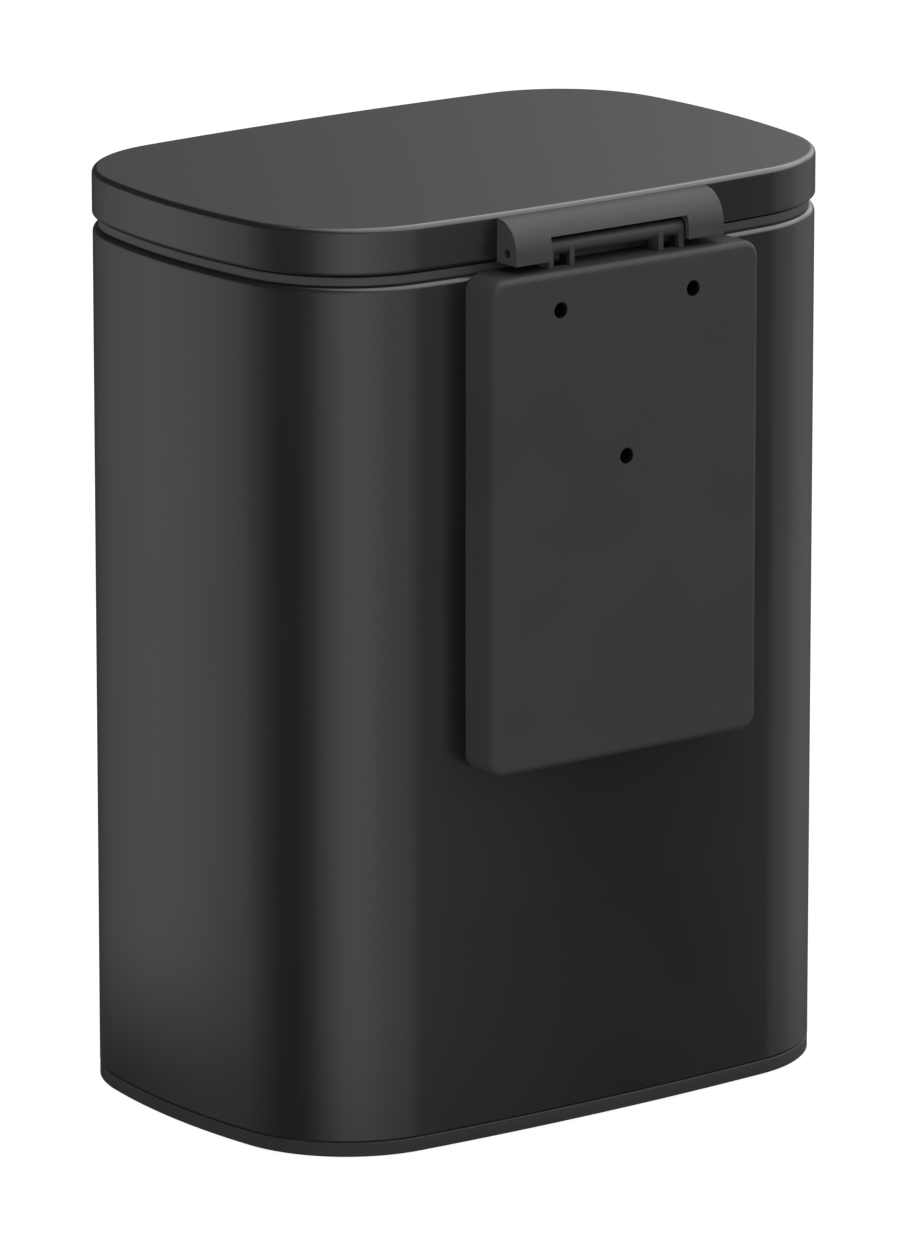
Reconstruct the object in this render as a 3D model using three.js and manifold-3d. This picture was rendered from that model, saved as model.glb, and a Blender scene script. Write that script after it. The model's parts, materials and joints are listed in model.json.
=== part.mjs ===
// A step-on waste bin. A painted steel body and lid stand on a plastic base, with a plastic
// bucket inside. A moulded housing on the back of the lid turns on the hinge pin, and a pedal
// lifts the lid through a lever and a rod. Millimetres, +Z up. The front is towards -Y, and
// the origin is on the floor under the middle of the bin.
import * as THREE from 'three';
import { mergeVertices } from 'three/addons/utils/BufferGeometryUtils.js';
import Module from 'manifold-3d';

const wasm = await Module();
wasm.setup();

// Overall size and the plan outline, which is made of tangent arcs.
const HEIGHT = 500;
const WIDTH = 374.6;
const DEPTH = 256.5;
const FACE_RADIUS = 1655;
const SIDE_RADIUS = 397.5;
const CORNER_RADIUS = 73.5;
const STRAIGHT_STEPS = 3;
const CORNER_STEPS = 5;

// Clearances between pieces.
const GAP = 0.3;
const REAR = DEPTH / 2;

// Levels of the main shells.
const LID_BOTTOM = 475;
const LID_EDGE = 3;
const LID_CURL = 2;
const LID_WALL = 0.8;
const BODY_INSET = 0.3;
const BODY_WALL = 0.8;
const BODY_TOP = 469.2;
const BODY_BOTTOM = 9.6;
const BODY_EDGE = 3.5;
const FLANGE_INSET = 8;
const RIM_INSET = 3.4;
const RIM_INNER = 12;
const RIM_WALL = 2.2;
const RIM_TOP = 473.9;
const RIM_FOOT = 455;
const BASE_TOP = 9.2;
const BASE_BOTTOM = 1;
const BASE_WALL = 2.5;
const TRAY_FLOOR = 46;
const TRAY_THICK = 2.5;

// Lid hinge, and the angle that the lid opens through.
const HINGE_Y = 136;
const HINGE_Z = 480.4;
const LID_OPEN = THREE.MathUtils.degToRad(76);
const PIN_RADIUS = 2;
const PIN_HOLE = 2.3;
const HOUSING_HALF = 68;
const HOUSING_REAR = 144;
const HOUSING_TOP = 497.7;
const HOUSING_BOTTOM = 474.6;
const HOUSING_WALL = 2;
const WINDOW_HALF = 44.8;
const WINDOW_TOP = 487.2;
const BARREL_RADIUS = 4.5;
const RIB_OUTER = 44.3;
const RIB_INNER = 30.7;
const RIB_THICK = 3.1;
const RIB_FOOT = 460;

// Rear cover.
const COVER_HALF = 87.3;
const COVER_FACE = 150;
const COVER_TOP = 470;
const COVER_FOOT = 204.5;
const COVER_WALL = 2;
const COVER_CORNER = 9;
const COVER_EDGE = 3.6;
const COVER_LIP = 0.5;
const COVER_SCREWS = [[-43.5, 449.5], [43.5, 449.5], [0, 365.7]];
const COVER_POST = 6.3;
const WELL_RADIUS = 4.3;
const RIB_OPENING = [27.2, 44.7];
const OPENING_REAR = 141;

// Lift rod, pedal lever and damper.
const ROD_Y = 117;
const ROD_RADIUS = 2;
const ROD_ARM = HINGE_Y - ROD_Y;
const ROD_TRAVEL = 2 * ROD_ARM * Math.tan(LID_OPEN / 2);
const PIVOT_Y = -52;
const PIVOT_Z = 24;
const LEVER_REACH = ROD_Y - PIVOT_Y;
const LEVER_TILT = Math.asin(ROD_TRAVEL / 2 / LEVER_REACH);
const DAMPER_X = -35;
const DAMPER_Y = 130.5;
const DAMPER_ARM = HINGE_Y - DAMPER_Y;
const DAMPER_TRAVEL = 2 * DAMPER_ARM * Math.tan(LID_OPEN / 2);

// Inner bucket.
const BUCKET_INSET = 13.5;
const BUCKET_DEPTH_SCALE = 0.961;
const BUCKET_SHIFT = -4.4;
const BUCKET_TOP = 452;
const BUCKET_BOTTOM = 49;

const PAINT = { color: 0x2b2b2c, roughness: 0.42, metalness: 0.35 };
const PLASTIC = { color: 0x252525, roughness: 0.6, metalness: 0 };
const BUCKET_PLASTIC = { color: 0x3a3a3c, roughness: 0.55, metalness: 0 };
const STEEL = { color: 0x9a9c9e, roughness: 0.35, metalness: 0.9 };
const RUBBER = { color: 0x161616, roughness: 0.85, metalness: 0 };

const root = new THREE.Group();

// ---------------------------------------------------------------- helpers

function place(name, geometry, finish, parent = root) {
  const mesh = new THREE.Mesh(geometry, new THREE.MeshStandardMaterial(finish));
  mesh.name = name;
  parent.add(mesh);
  return mesh;
}

function toSolid(geometry) {
  const bare = geometry.clone();
  bare.deleteAttribute('normal');
  bare.deleteAttribute('uv');
  const merged = mergeVertices(bare, 1e-4);
  const vertProperties = merged.attributes.position.array;
  const triVerts = Uint32Array.from(merged.index.array);
  return new wasm.Manifold(new wasm.Mesh({ numProp: 3, vertProperties, triVerts }));
}

function toGeometry(solid) {
  const mesh = solid.getMesh();
  const geometry = new THREE.BufferGeometry();
  geometry.setAttribute('position', new THREE.BufferAttribute(mesh.vertProperties, 3));
  geometry.setIndex(new THREE.BufferAttribute(mesh.triVerts, 1));
  geometry.computeVertexNormals();
  return geometry;
}

function join(...geometries) {
  const solids = geometries.map(toSolid);
  return toGeometry(solids.reduce((sum, solid) => sum.add(solid)));
}

function cut(geometry, ...tools) {
  const solids = tools.map(toSolid);
  return toGeometry(solids.reduce((rest, solid) => rest.subtract(solid), toSolid(geometry)));
}

function block([x0, x1], [y0, y1], [z0, z1]) {
  const geometry = new THREE.BoxGeometry(x1 - x0, y1 - y0, z1 - z0);
  return geometry.translate((x0 + x1) / 2, (y0 + y1) / 2, (z0 + z1) / 2);
}

// A span along X on the side given by its sign.
function across(side, near, far) {
  return side > 0 ? [near, far] : [-far, -near];
}

function barX(radius, [x0, x1], y, z, sides = 16) {
  const geometry = new THREE.CylinderGeometry(radius, radius, x1 - x0, sides);
  return geometry.rotateZ(-Math.PI / 2).translate((x0 + x1) / 2, y, z);
}

function barY(radius, [y0, y1], x, z, sides = 16) {
  const geometry = new THREE.CylinderGeometry(radius, radius, y1 - y0, sides);
  return geometry.translate(x, (y0 + y1) / 2, z);
}

function barZ(radius, [z0, z1], x, y, sides = 16) {
  const geometry = new THREE.CylinderGeometry(radius, radius, z1 - z0, sides);
  return geometry.rotateX(Math.PI / 2).translate(x, y, (z0 + z1) / 2);
}

// Extrudes a shape drawn in (y, z) along X.
function alongX(shape, [x0, x1], curveSegments = 6) {
  const geometry = new THREE.ExtrudeGeometry(shape, {
    depth: x1 - x0, bevelEnabled: false, curveSegments,
  });
  const turn = new THREE.Matrix4().makeBasis(
    new THREE.Vector3(0, 1, 0), new THREE.Vector3(0, 0, 1), new THREE.Vector3(1, 0, 0),
  );
  return geometry.applyMatrix4(turn).translate(x0, 0, 0);
}

// Extrudes a shape drawn in (x, z) along Y, from y1 down to y0, with an optional rounded edge.
function alongY(shape, [y0, y1], edge = 0) {
  const geometry = new THREE.ExtrudeGeometry(shape, {
    depth: y1 - y0 - 2 * edge,
    bevelEnabled: edge > 0,
    bevelThickness: edge,
    bevelSize: edge,
    bevelOffset: -edge,
    bevelSegments: 2,
    curveSegments: 4,
  });
  return geometry.rotateX(Math.PI / 2).translate(0, y1 - edge, 0);
}

function polygon(points) {
  return new THREE.Shape(points.map(([u, v]) => new THREE.Vector2(u, v)));
}

function roundedRectangle([u0, u1], [v0, v1], radius) {
  const shape = new THREE.Shape();
  shape.moveTo(u0 + radius, v0);
  shape.lineTo(u1 - radius, v0);
  shape.absarc(u1 - radius, v0 + radius, radius, -Math.PI / 2, 0);
  shape.lineTo(u1, v1 - radius);
  shape.absarc(u1 - radius, v1 - radius, radius, 0, Math.PI / 2);
  shape.lineTo(u0 + radius, v1);
  shape.absarc(u0 + radius, v1 - radius, radius, Math.PI / 2, Math.PI);
  shape.lineTo(u0, v0 + radius);
  shape.absarc(u0 + radius, v0 + radius, radius, Math.PI, Math.PI * 1.5);
  return shape;
}

// The centre of the corner arc in the +X +Y quarter, where it is tangent to both its neighbours.
function cornerCentre(rearCentre, sideCentre) {
  const toRear = FACE_RADIUS - CORNER_RADIUS;
  const toSide = SIDE_RADIUS - CORNER_RADIUS;
  const between = sideCentre.clone().sub(rearCentre);
  const span = between.length();
  const along = (toRear ** 2 - toSide ** 2 + span ** 2) / (2 * span);
  const across = Math.sqrt(toRear ** 2 - along ** 2);
  const unit = between.divideScalar(span);
  const normal = new THREE.Vector2(unit.y, -unit.x);
  return rearCentre.clone().addScaledVector(unit, along).addScaledVector(normal, across);
}

function arcPoints(centre, radius, start, end, steps) {
  return Array.from({ length: steps }, (_, i) => {
    const angle = start + ((end - start) * i) / steps;
    return [centre.x + radius * Math.cos(angle), centre.y + radius * Math.sin(angle)];
  });
}

// The plan outline, counter-clockwise. Its arcs keep their centres when it is inset.
function outline(inset) {
  const rearCentre = new THREE.Vector2(0, REAR - FACE_RADIUS);
  const sideCentre = new THREE.Vector2(WIDTH / 2 - SIDE_RADIUS, 0);
  const corner = cornerCentre(rearCentre, sideCentre);
  const sideEnd = corner.clone().sub(sideCentre).angle();
  const rearStart = corner.clone().sub(rearCentre).angle();
  const quarter = [
    ...arcPoints(sideCentre, SIDE_RADIUS - inset, 0, sideEnd, STRAIGHT_STEPS),
    ...arcPoints(corner, CORNER_RADIUS - inset, sideEnd, rearStart, CORNER_STEPS),
    ...arcPoints(rearCentre, FACE_RADIUS - inset, rearStart, Math.PI / 2, STRAIGHT_STEPS),
    [0, REAR - inset],
  ];
  const half = [...quarter, ...quarter.slice(0, -1).reverse().map(([x, y]) => [-x, y])];
  return [...half, ...half.slice(1, -1).reverse().map(([x, y]) => [x, -y])];
}

function signedVolume(points, faces) {
  return faces.reduce((sum, [a, b, c]) => {
    const cross = new THREE.Vector3().crossVectors(points[b], points[c]);
    return sum + points[a].dot(cross) / 6;
  }, 0);
}

// Sweeps a profile of [inset, z] corners around the outline. A ring's profile closes on itself.
// Otherwise the first and last levels run in to the middle, which makes a dish or a cap.
function sweep(profile, isRing) {
  const points = profile.flatMap(([inset, z]) => (
    outline(inset).map(([x, y]) => new THREE.Vector3(x, y, z))
  ));
  const count = points.length / profile.length;
  const faces = [];
  const bands = isRing ? profile.length : profile.length - 1;
  for (let band = 0; band < bands; band += 1) {
    const low = band * count;
    const high = ((band + 1) % profile.length) * count;
    for (let i = 0; i < count; i += 1) {
      const next = (i + 1) % count;
      faces.push([low + i, low + next, high + next], [low + i, high + next, high + i]);
    }
  }
  if (!isRing) {
    const last = (profile.length - 1) * count;
    const first = points.push(new THREE.Vector3(0, 0, profile[0][1])) - 1;
    const final = points.push(new THREE.Vector3(0, 0, profile.at(-1)[1])) - 1;
    for (let i = 0; i < count; i += 1) {
      const next = (i + 1) % count;
      faces.push([first, next, i], [final, last + i, last + next]);
    }
  }
  const inward = signedVolume(points, faces) < 0;
  const geometry = new THREE.BufferGeometry().setFromPoints(points);
  geometry.setIndex(faces.flatMap(([a, b, c]) => (inward ? [a, c, b] : [a, b, c])));
  geometry.computeVertexNormals();
  return geometry;
}

// A quarter turn in a profile, from one angle to another, in degrees.
function profileArc(inset, z, radius, start, end, steps = 3) {
  return Array.from({ length: steps + 1 }, (_, i) => {
    const angle = THREE.MathUtils.degToRad(start + ((end - start) * i) / steps);
    return [inset - radius * Math.cos(angle), z + radius * Math.sin(angle)];
  });
}

// Everything inside the outline, used to shape the pieces that sit against a wall.
function core(inset, [z0, z1]) {
  return sweep([[inset, z0], [inset, z1]], false);
}

function screwAlongY(x, z, [tip, seat], headRadius, shankRadius, headHeight) {
  return join(
    barY(shankRadius, [tip, seat + 0.5], x, z, 8),
    barY(headRadius, [seat, seat + headHeight], x, z, 12),
  );
}

// ---------------------------------------------------------------- body and base

const MOUNT_SCREWS = [[-16, 432], [16, 432], [-16, 461], [16, 461]];
const DAMPER_RIVETS = [[DAMPER_X, 267], [DAMPER_X, 277]];
const REAR_WALL = [118, 132];
const PEDAL_SLOT = block([-15.5, 15.5], [-140, -105], [10.8, 41]);
const RIM_GAP = 0.4;
const FOOT_PLACES = [[-140, -82], [140, -82], [140, 82], [-140, 82]];
const POST_RADIUS = 11;
const AXLE_HOLE = 3.3;

function bodyShell() {
  const inner = BODY_INSET + BODY_WALL;
  const bend = BODY_INSET + BODY_EDGE;
  const shell = sweep([
    [BODY_INSET, BODY_BOTTOM],
    ...profileArc(bend, BODY_TOP - BODY_EDGE, BODY_EDGE, 0, 90),
    [FLANGE_INSET, BODY_TOP],
    [FLANGE_INSET, BODY_TOP - BODY_WALL],
    ...profileArc(bend, BODY_TOP - BODY_EDGE, BODY_EDGE - BODY_WALL, 90, 0, 2),
    [inner, BODY_BOTTOM],
  ], true);
  const holes = [
    ...MOUNT_SCREWS.map(([x, z]) => barY(2.4, REAR_WALL, x, z, 10)),
    ...COVER_SCREWS.map(([x, z]) => barY(2.2, REAR_WALL, x, z, 10)),
    ...DAMPER_RIVETS.map(([x, z]) => barY(2, REAR_WALL, x, z, 10)),
  ];
  const damperWindow = block([DAMPER_X - 7, DAMPER_X + 7], [115, 135], [284, 441]);
  return cut(shell, PEDAL_SLOT, ...holes, damperWindow);
}

function bodyRim() {
  const ring = sweep([
    [RIM_INSET, BODY_TOP + RIM_GAP],
    [RIM_INSET, RIM_TOP - 0.6],
    [RIM_INSET + 0.6, RIM_TOP],
    [RIM_INNER, RIM_TOP],
    [RIM_INNER, RIM_FOOT],
    [RIM_INNER - RIM_WALL, RIM_FOOT],
    [RIM_INNER - RIM_WALL, BODY_TOP + RIM_GAP],
  ], true);
  const rodNotch = block([-11, 11], [105, 122.2], [440, 480]);
  return cut(ring, rodNotch);
}

function baseTray() {
  const wall = BODY_INSET + BODY_WALL + 0.7;
  const floorTop = TRAY_FLOOR + TRAY_THICK;
  const tray = sweep([
    [wall, floorTop],
    [wall, BASE_TOP],
    [1.3, BASE_TOP],
    [0.4, BASE_TOP - 0.9],
    [0.4, BASE_BOTTOM],
    [7, BASE_BOTTOM],
    [7, BASE_BOTTOM + 2.2],
    [wall + BASE_WALL, BASE_BOTTOM + 2.2],
    [wall + BASE_WALL, TRAY_FLOOR],
  ], false);
  const posts = FOOT_PLACES.map(([x, y]) => barZ(POST_RADIUS, [3.3, TRAY_FLOOR + 1], x, y, 18));
  const cheekTop = TRAY_FLOOR + 1;
  const cheekFoot = PIVOT_Z - 9;
  const cheek = polygon([
    [PIVOT_Y - 12, cheekTop], [PIVOT_Y - 7, cheekFoot],
    [PIVOT_Y + 7, cheekFoot], [PIVOT_Y + 12, cheekTop],
  ]);
  const bearings = [alongX(cheek, [-17, -14]), alongX(cheek, [14, 17])];
  const axleHole = barX(AXLE_HOLE, [-20, 20], PIVOT_Y, PIVOT_Z, 14);
  const rodHole = barZ(2.6, [TRAY_FLOOR - 5, floorTop + 5], 0, ROD_Y, 12);
  return cut(join(tray, ...posts, ...bearings), axleHole, rodHole, PEDAL_SLOT);
}

function footPad([x, y]) {
  const profile = [[0, 0], [7.4, 0], [9, 1.2], [9, 3], [0, 3]];
  const geometry = new THREE.LatheGeometry(profile.map(([u, v]) => new THREE.Vector2(u, v)), 14);
  return geometry.rotateX(Math.PI / 2).translate(x, y, 0);
}

// ---------------------------------------------------------------- bucket

function bucketPlace(geometry) {
  return geometry.scale(1, BUCKET_DEPTH_SCALE, 1).translate(0, BUCKET_SHIFT, 0);
}

const HANDLE_PIVOT_Z = 438;
const HANDLE_WIRE = 2.2;

function innerBucket() {
  const top = BUCKET_INSET + 3;
  const bottom = BUCKET_INSET + 9;
  const wall = 1.6;
  const bucket = sweep([
    [bottom + 4, BUCKET_BOTTOM],
    [bottom, BUCKET_BOTTOM + 4],
    [top, BUCKET_TOP - 8],
    [BUCKET_INSET, BUCKET_TOP - 8],
    [BUCKET_INSET, BUCKET_TOP],
    [top + wall, BUCKET_TOP],
    [bottom + wall, BUCKET_BOTTOM + 5],
    [bottom + wall + 3, BUCKET_BOTTOM + 2],
  ], false);
  const pivotHoles = barX(3.6, [-200, 200], 0, HANDLE_PIVOT_Z, 12);
  return bucketPlace(cut(bucket, pivotHoles));
}

// The bail lies folded forward on the bucket, with its ends turned out through the walls.
function bucketHandle() {
  const wallX = WIDTH / 2 - BUCKET_INSET - 3;
  const front = outline(BUCKET_INSET + 8).filter(([x, y]) => y < -30 && Math.abs(x) < 163);
  const ordered = front.sort((a, b) => a[0] - b[0]);
  const loop = ordered.map(([x, y]) => new THREE.Vector3(x, y, BUCKET_TOP + 3.5));
  const end = (side) => [
    new THREE.Vector3(side * (wallX + 3.5), 0, HANDLE_PIVOT_Z),
    new THREE.Vector3(side * (wallX - 5), 0, HANDLE_PIVOT_Z),
    new THREE.Vector3(side * (wallX - 9.5), -3, HANDLE_PIVOT_Z + 3),
    new THREE.Vector3(side * (wallX - 9), -16, BUCKET_TOP - 2),
  ];
  const path = new THREE.CatmullRomCurve3([...end(-1), ...loop, ...end(1).reverse()], false, 'centripetal');
  const section = new THREE.Shape().absarc(0, 0, HANDLE_WIRE, 0, Math.PI * 2);
  const geometry = new THREE.ExtrudeGeometry(section, {
    steps: 40, curveSegments: 3, extrudePath: path, bevelEnabled: false,
  });
  return bucketPlace(geometry);
}

// ---------------------------------------------------------------- lid

const HOUSING_SCREWS = [-57, 57];
const HOUSING_SCREW_Z = 489;
const CAM_ROOT = HOUSING_TOP - 1;
const LUG_SCREWS = [-10, 10];
const LUG_SCREW_Y = 112;
const LINER_BOTTOM = LID_BOTTOM + 2.8;
const LINER_THICK = 2.2;
const LINER_RISE = 11;
const LUG_TOP = LINER_BOTTOM - GAP;
const LUG_BOTTOM = LUG_TOP - 2.2;

function lidShell() {
  const pan = sweep([
    ...profileArc(LID_EDGE, HEIGHT - LID_EDGE, LID_EDGE, 90, 0),
    ...profileArc(LID_CURL, LID_BOTTOM + LID_CURL, LID_CURL, 0, -90),
    ...profileArc(LID_CURL, LID_BOTTOM + LID_CURL, LID_CURL - LID_WALL, -90, 0, 2),
    ...profileArc(LID_EDGE, HEIGHT - LID_EDGE, LID_EDGE - LID_WALL, 0, 90, 2),
  ], false);
  return cut(pan, ...HOUSING_SCREWS.map((x) => barY(2.4, REAR_WALL, x, HOUSING_SCREW_Z, 10)));
}

function lidLiner() {
  const edge = LID_WALL + 0.6;
  const top = LINER_BOTTOM + LINER_THICK;
  const liner = sweep([
    [27, LINER_BOTTOM + LINER_RISE],
    [23, LINER_BOTTOM],
    [edge, LINER_BOTTOM],
    [edge, top],
    [21.5, top],
    [25.5, top + LINER_RISE],
  ], false);
  return cut(liner, ...LUG_SCREWS.map((x) => barZ(1.9, [LUG_BOTTOM, top + 1], x, LUG_SCREW_Y, 10)));
}

function lidBumper(side) {
  const foot = RIM_TOP + GAP;
  const profile = [[0, foot], [2.4, foot], [3, foot + 0.8], [3, LUG_TOP], [0, LUG_TOP]];
  const geometry = new THREE.LatheGeometry(profile.map(([u, v]) => new THREE.Vector2(u, v)), 10);
  return geometry.rotateX(Math.PI / 2).translate(side * 60, -119.4, 0);
}

// A point on the lid at a given distance out from the hinge axis, along the lifting line, and
// a distance over that line. The lifting line lies half the opening angle below level.
function fromHinge(distance, over) {
  const angle = LID_OPEN / 2;
  return [
    HINGE_Y - distance * Math.cos(angle) - over * Math.sin(angle),
    HINGE_Z - distance * Math.sin(angle) + over * Math.cos(angle),
  ];
}

function liftLug() {
  const plate = block([-14, 14], [108, 123.4], [LUG_BOTTOM, LUG_TOP]);
  const camRoot = LUG_BOTTOM + 1.3;
  const clear = ROD_RADIUS + 1.25;
  const cam = polygon([
    [110.5, camRoot], fromHinge(29.5, clear), fromHinge(17.6, clear), [122.4, camRoot],
  ]);
  const lug = join(plate, alongX(cam, [3, 6]), alongX(cam, [-6, -3]));
  return cut(lug, ...LUG_SCREWS.map((x) => barZ(1.9, [LUG_BOTTOM - 1, LUG_TOP + 1], x, LUG_SCREW_Y, 10)));
}

function lugScrew(x) {
  return join(
    barZ(1.5, [LUG_BOTTOM - 0.5, LUG_TOP + 5.6], x, LUG_SCREW_Y, 10),
    barZ(3, [LUG_BOTTOM - 1.1, LUG_BOTTOM - GAP], x, LUG_SCREW_Y, 12),
  );
}

// Half of the hinge housing's section: a quarter round that turns down to a flat bottom.
function quarterRound(wall) {
  const shape = new THREE.Shape();
  const reach = HOUSING_REAR - REAR - wall;
  const rise = HOUSING_TOP - HINGE_Z - wall;
  shape.moveTo(118, HOUSING_BOTTOM - wall);
  shape.lineTo(HOUSING_REAR - wall, HOUSING_BOTTOM - wall);
  shape.lineTo(HOUSING_REAR - wall, HINGE_Z);
  shape.absellipse(REAR, HINGE_Z, reach, rise, 0, Math.PI / 2);
  shape.lineTo(118, HOUSING_TOP - wall);
  return shape;
}

function hingeHousing() {
  const outer = alongX(quarterRound(0), [-HOUSING_HALF, HOUSING_HALF], 8);
  const inside = HOUSING_HALF - 2.5;
  const hollow = alongX(quarterRound(HOUSING_WALL), [-inside, inside], 8);
  const window = block([-WINDOW_HALF, WINDOW_HALF], [138, 150], [HOUSING_BOTTOM - 4, WINDOW_TOP]);
  const skin = cut(outer, hollow, window);
  const webs = [-48.4, 45.4].map((x) => cut(
    alongX(quarterRound(HOUSING_WALL / 2), [x, x + 3], 8),
    block([x - 1, x + 4], [110, 150], [HOUSING_BOTTOM - 4, HOUSING_BOTTOM]),
  ));
  const bosses = HOUSING_SCREWS.map((x) => block([x - 5, x + 5], [118, 136.5], [484, 494]));
  const [camY, camZ] = fromHinge(DAMPER_ARM - 0.6, PIN_RADIUS + 0.75);
  const [farY, farZ] = fromHinge(DAMPER_ARM + 6, PIN_RADIUS + 0.75);
  const damperCam = alongX(
    polygon([[farY, farZ], [camY, camZ], [camY, CAM_ROOT], [farY, CAM_ROOT]]),
    [DAMPER_X - 2, DAMPER_X + 2],
  );
  return cut(
    join(skin, ...webs, ...bosses, damperCam),
    core(-GAP, [460, HEIGHT + 10]),
    barX(PIN_HOLE, [-80, 80], HINGE_Y, HINGE_Z, 16),
    ...HOUSING_SCREWS.map((x) => barY(1.9, [110, 135.5], x, HOUSING_SCREW_Z, 10)),
  );
}

function housingScrew(x) {
  return join(
    barY(1.5, [124.4, 135], x, HOUSING_SCREW_Z, 10),
    barY(3.4, [122.6, 124.9], x, HOUSING_SCREW_Z, 14),
  );
}

// ---------------------------------------------------------------- rear hinge mount and cover

const MOUNT_FACE = 136;
const MOUNT_BACK = REAR + 0.35;
const TONGUE_FACE = MOUNT_BACK + 3;

// The mount carries the barrel on two pairs of ribs, with a low web between the ribs of a pair.
function hingeMount() {
  const bar = block([-50, 50], [MOUNT_BACK, MOUNT_FACE], [457, 467.5]);
  const tongue = block([-24, 24], [MOUNT_BACK, TONGUE_FACE], [424, 458]);
  const ribDepth = [HINGE_Y - BARREL_RADIUS, HINGE_Y + BARREL_RADIUS];
  const ribRise = [RIB_FOOT, HINGE_Z];
  const webDepth = [MOUNT_FACE - 0.2, HINGE_Y + BARREL_RADIUS];
  const webRise = [RIB_FOOT, COVER_TOP - 0.1];
  const ribs = [-1, 1].flatMap((side) => [
    block(across(side, RIB_OUTER - RIB_THICK, RIB_OUTER), ribDepth, ribRise),
    block(across(side, RIB_INNER - RIB_THICK, RIB_INNER), ribDepth, ribRise),
    block(across(side, RIB_INNER - 1, RIB_OUTER - 1), webDepth, webRise),
  ]);
  const barrel = barX(BARREL_RADIUS, [-RIB_OUTER, RIB_OUTER], HINGE_Y, HINGE_Z, 20);
  const rodNotch = block([DAMPER_X - 3, DAMPER_X + 3], [125, DAMPER_Y + 2.7], [450, HINGE_Z + 5.6]);
  return cut(
    join(bar, tongue, ...ribs, barrel),
    barX(PIN_HOLE, [-60, 60], HINGE_Y, HINGE_Z, 14),
    rodNotch,
    ...MOUNT_SCREWS.map(([x, z]) => barY(2.4, [120, 140], x, z, 10)),
  );
}

function backingPlate() {
  const plate = block([-26, 26], [122.4, 125.6], [424, 466.5]);
  return cut(plate, ...MOUNT_SCREWS.map(([x, z]) => barY(2.2, [120, 128], x, z, 10)));
}

function mountScrew([x, z]) {
  const seat = GAP + (z > RIB_FOOT ? MOUNT_FACE : TONGUE_FACE);
  return screwAlongY(x, z, [121.4, seat], 3.6, 1.8, 2.2);
}

// The cover closes over the body's rear wall, and a thin lip on its top reaches in to the rim.
function rearCover() {
  const face = roundedRectangle([-COVER_HALF, COVER_HALF], [COVER_FOOT, COVER_TOP], COVER_CORNER);
  const outer = alongY(face, [110, COVER_FACE], COVER_EDGE);
  const innerFace = roundedRectangle(
    [COVER_WALL - COVER_HALF, COVER_HALF - COVER_WALL],
    [COVER_FOOT + COVER_WALL, COVER_TOP - COVER_WALL],
    COVER_CORNER - COVER_WALL,
  );
  const hollow = alongY(innerFace, [100, COVER_FACE - COVER_WALL], COVER_EDGE - COVER_WALL);
  const posts = COVER_SCREWS.map(([x, z]) => barY(COVER_POST, [118, COVER_FACE - 1], x, z, 18));
  const lipFoot = COVER_TOP - COVER_LIP;
  const ribOpenings = [-1, 1].map((side) => (
    block(across(side, ...RIB_OPENING), [100, OPENING_REAR], [463, 480])
  ));
  const wells = COVER_SCREWS.flatMap(([x, z]) => [
    barY(WELL_RADIUS, [131, 155], x, z, 18),
    barY(2.3, [110, 140], x, z, 10),
  ]);
  return cut(
    join(cut(outer, hollow), ...posts),
    core(0, [190, lipFoot]),
    core(RIM_INSET - 0.35, [190, HEIGHT]),
    ...ribOpenings,
    ...wells,
  );
}

// ---------------------------------------------------------------- lift rod and damper

function liftRod() {
  const low = PIVOT_Z - ROD_TRAVEL / 2;
  const high = HINGE_Z - ROD_TRAVEL / 2;
  return join(
    barZ(ROD_RADIUS, [low, high], 0, ROD_Y, 12),
    barX(ROD_RADIUS, [-13, 13], ROD_Y, low, 12),
    barX(ROD_RADIUS, [-8, 8], ROD_Y, high, 12),
  );
}

function rodGuide() {
  const guide = block([-10, 10], [112, 125.4], [402, 414]);
  return cut(guide, barZ(2.5, [395, 420], 0, ROD_Y, 12));
}

function rodChannel() {
  const outer = block([-12, 12], [109.5, 125.4], [56, 396]);
  const hollow = block([-10.8, 10.8], [110.7, 130], [50, 400]);
  return cut(outer, hollow);
}

const DAMPER_TOP = 436;
const DAMPER_FOOT = 300;
const DAMPER_EYE = 292;

function damperCylinder() {
  const tube = barZ(5, [DAMPER_FOOT, DAMPER_TOP], DAMPER_X, DAMPER_Y, 18);
  const ear = block([DAMPER_X - 2, DAMPER_X + 2], [DAMPER_Y - 3.5, DAMPER_Y + 3.5], [287, 302]);
  return cut(
    join(tube, ear),
    barZ(1.9, [330, 440], DAMPER_X, DAMPER_Y, 12),
    barX(1.9, [DAMPER_X - 5, DAMPER_X + 5], DAMPER_Y, DAMPER_EYE, 12),
  );
}

function damperRod() {
  const high = HINGE_Z - DAMPER_TRAVEL / 2;
  return join(
    barZ(1.5, [345, high], DAMPER_X, DAMPER_Y, 12),
    barX(PIN_RADIUS, [DAMPER_X - 2.2, DAMPER_X + 2.2], DAMPER_Y, high, 12),
  );
}

function damperBracket() {
  const back = block([DAMPER_X - 8, DAMPER_X + 8], [128.3, 130.3], [262, 282]);
  const cheeks = [-7, 5].map((x) => (
    block([DAMPER_X + x, DAMPER_X + x + 2], [128.3, 136], [263, 298])
  ));
  return cut(
    join(back, ...cheeks),
    barX(1.9, [DAMPER_X - 10, DAMPER_X + 10], DAMPER_Y, DAMPER_EYE, 12),
    ...DAMPER_RIVETS.map(([x, z]) => barY(1.9, [120, 140], x, z, 10)),
  );
}

function damperPin() {
  return join(
    barX(1.5, [DAMPER_X - 8, DAMPER_X + 8], DAMPER_Y, DAMPER_EYE, 12),
    barX(2.8, [DAMPER_X + 7.4, DAMPER_X + 9], DAMPER_Y, DAMPER_EYE, 12),
  );
}

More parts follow.
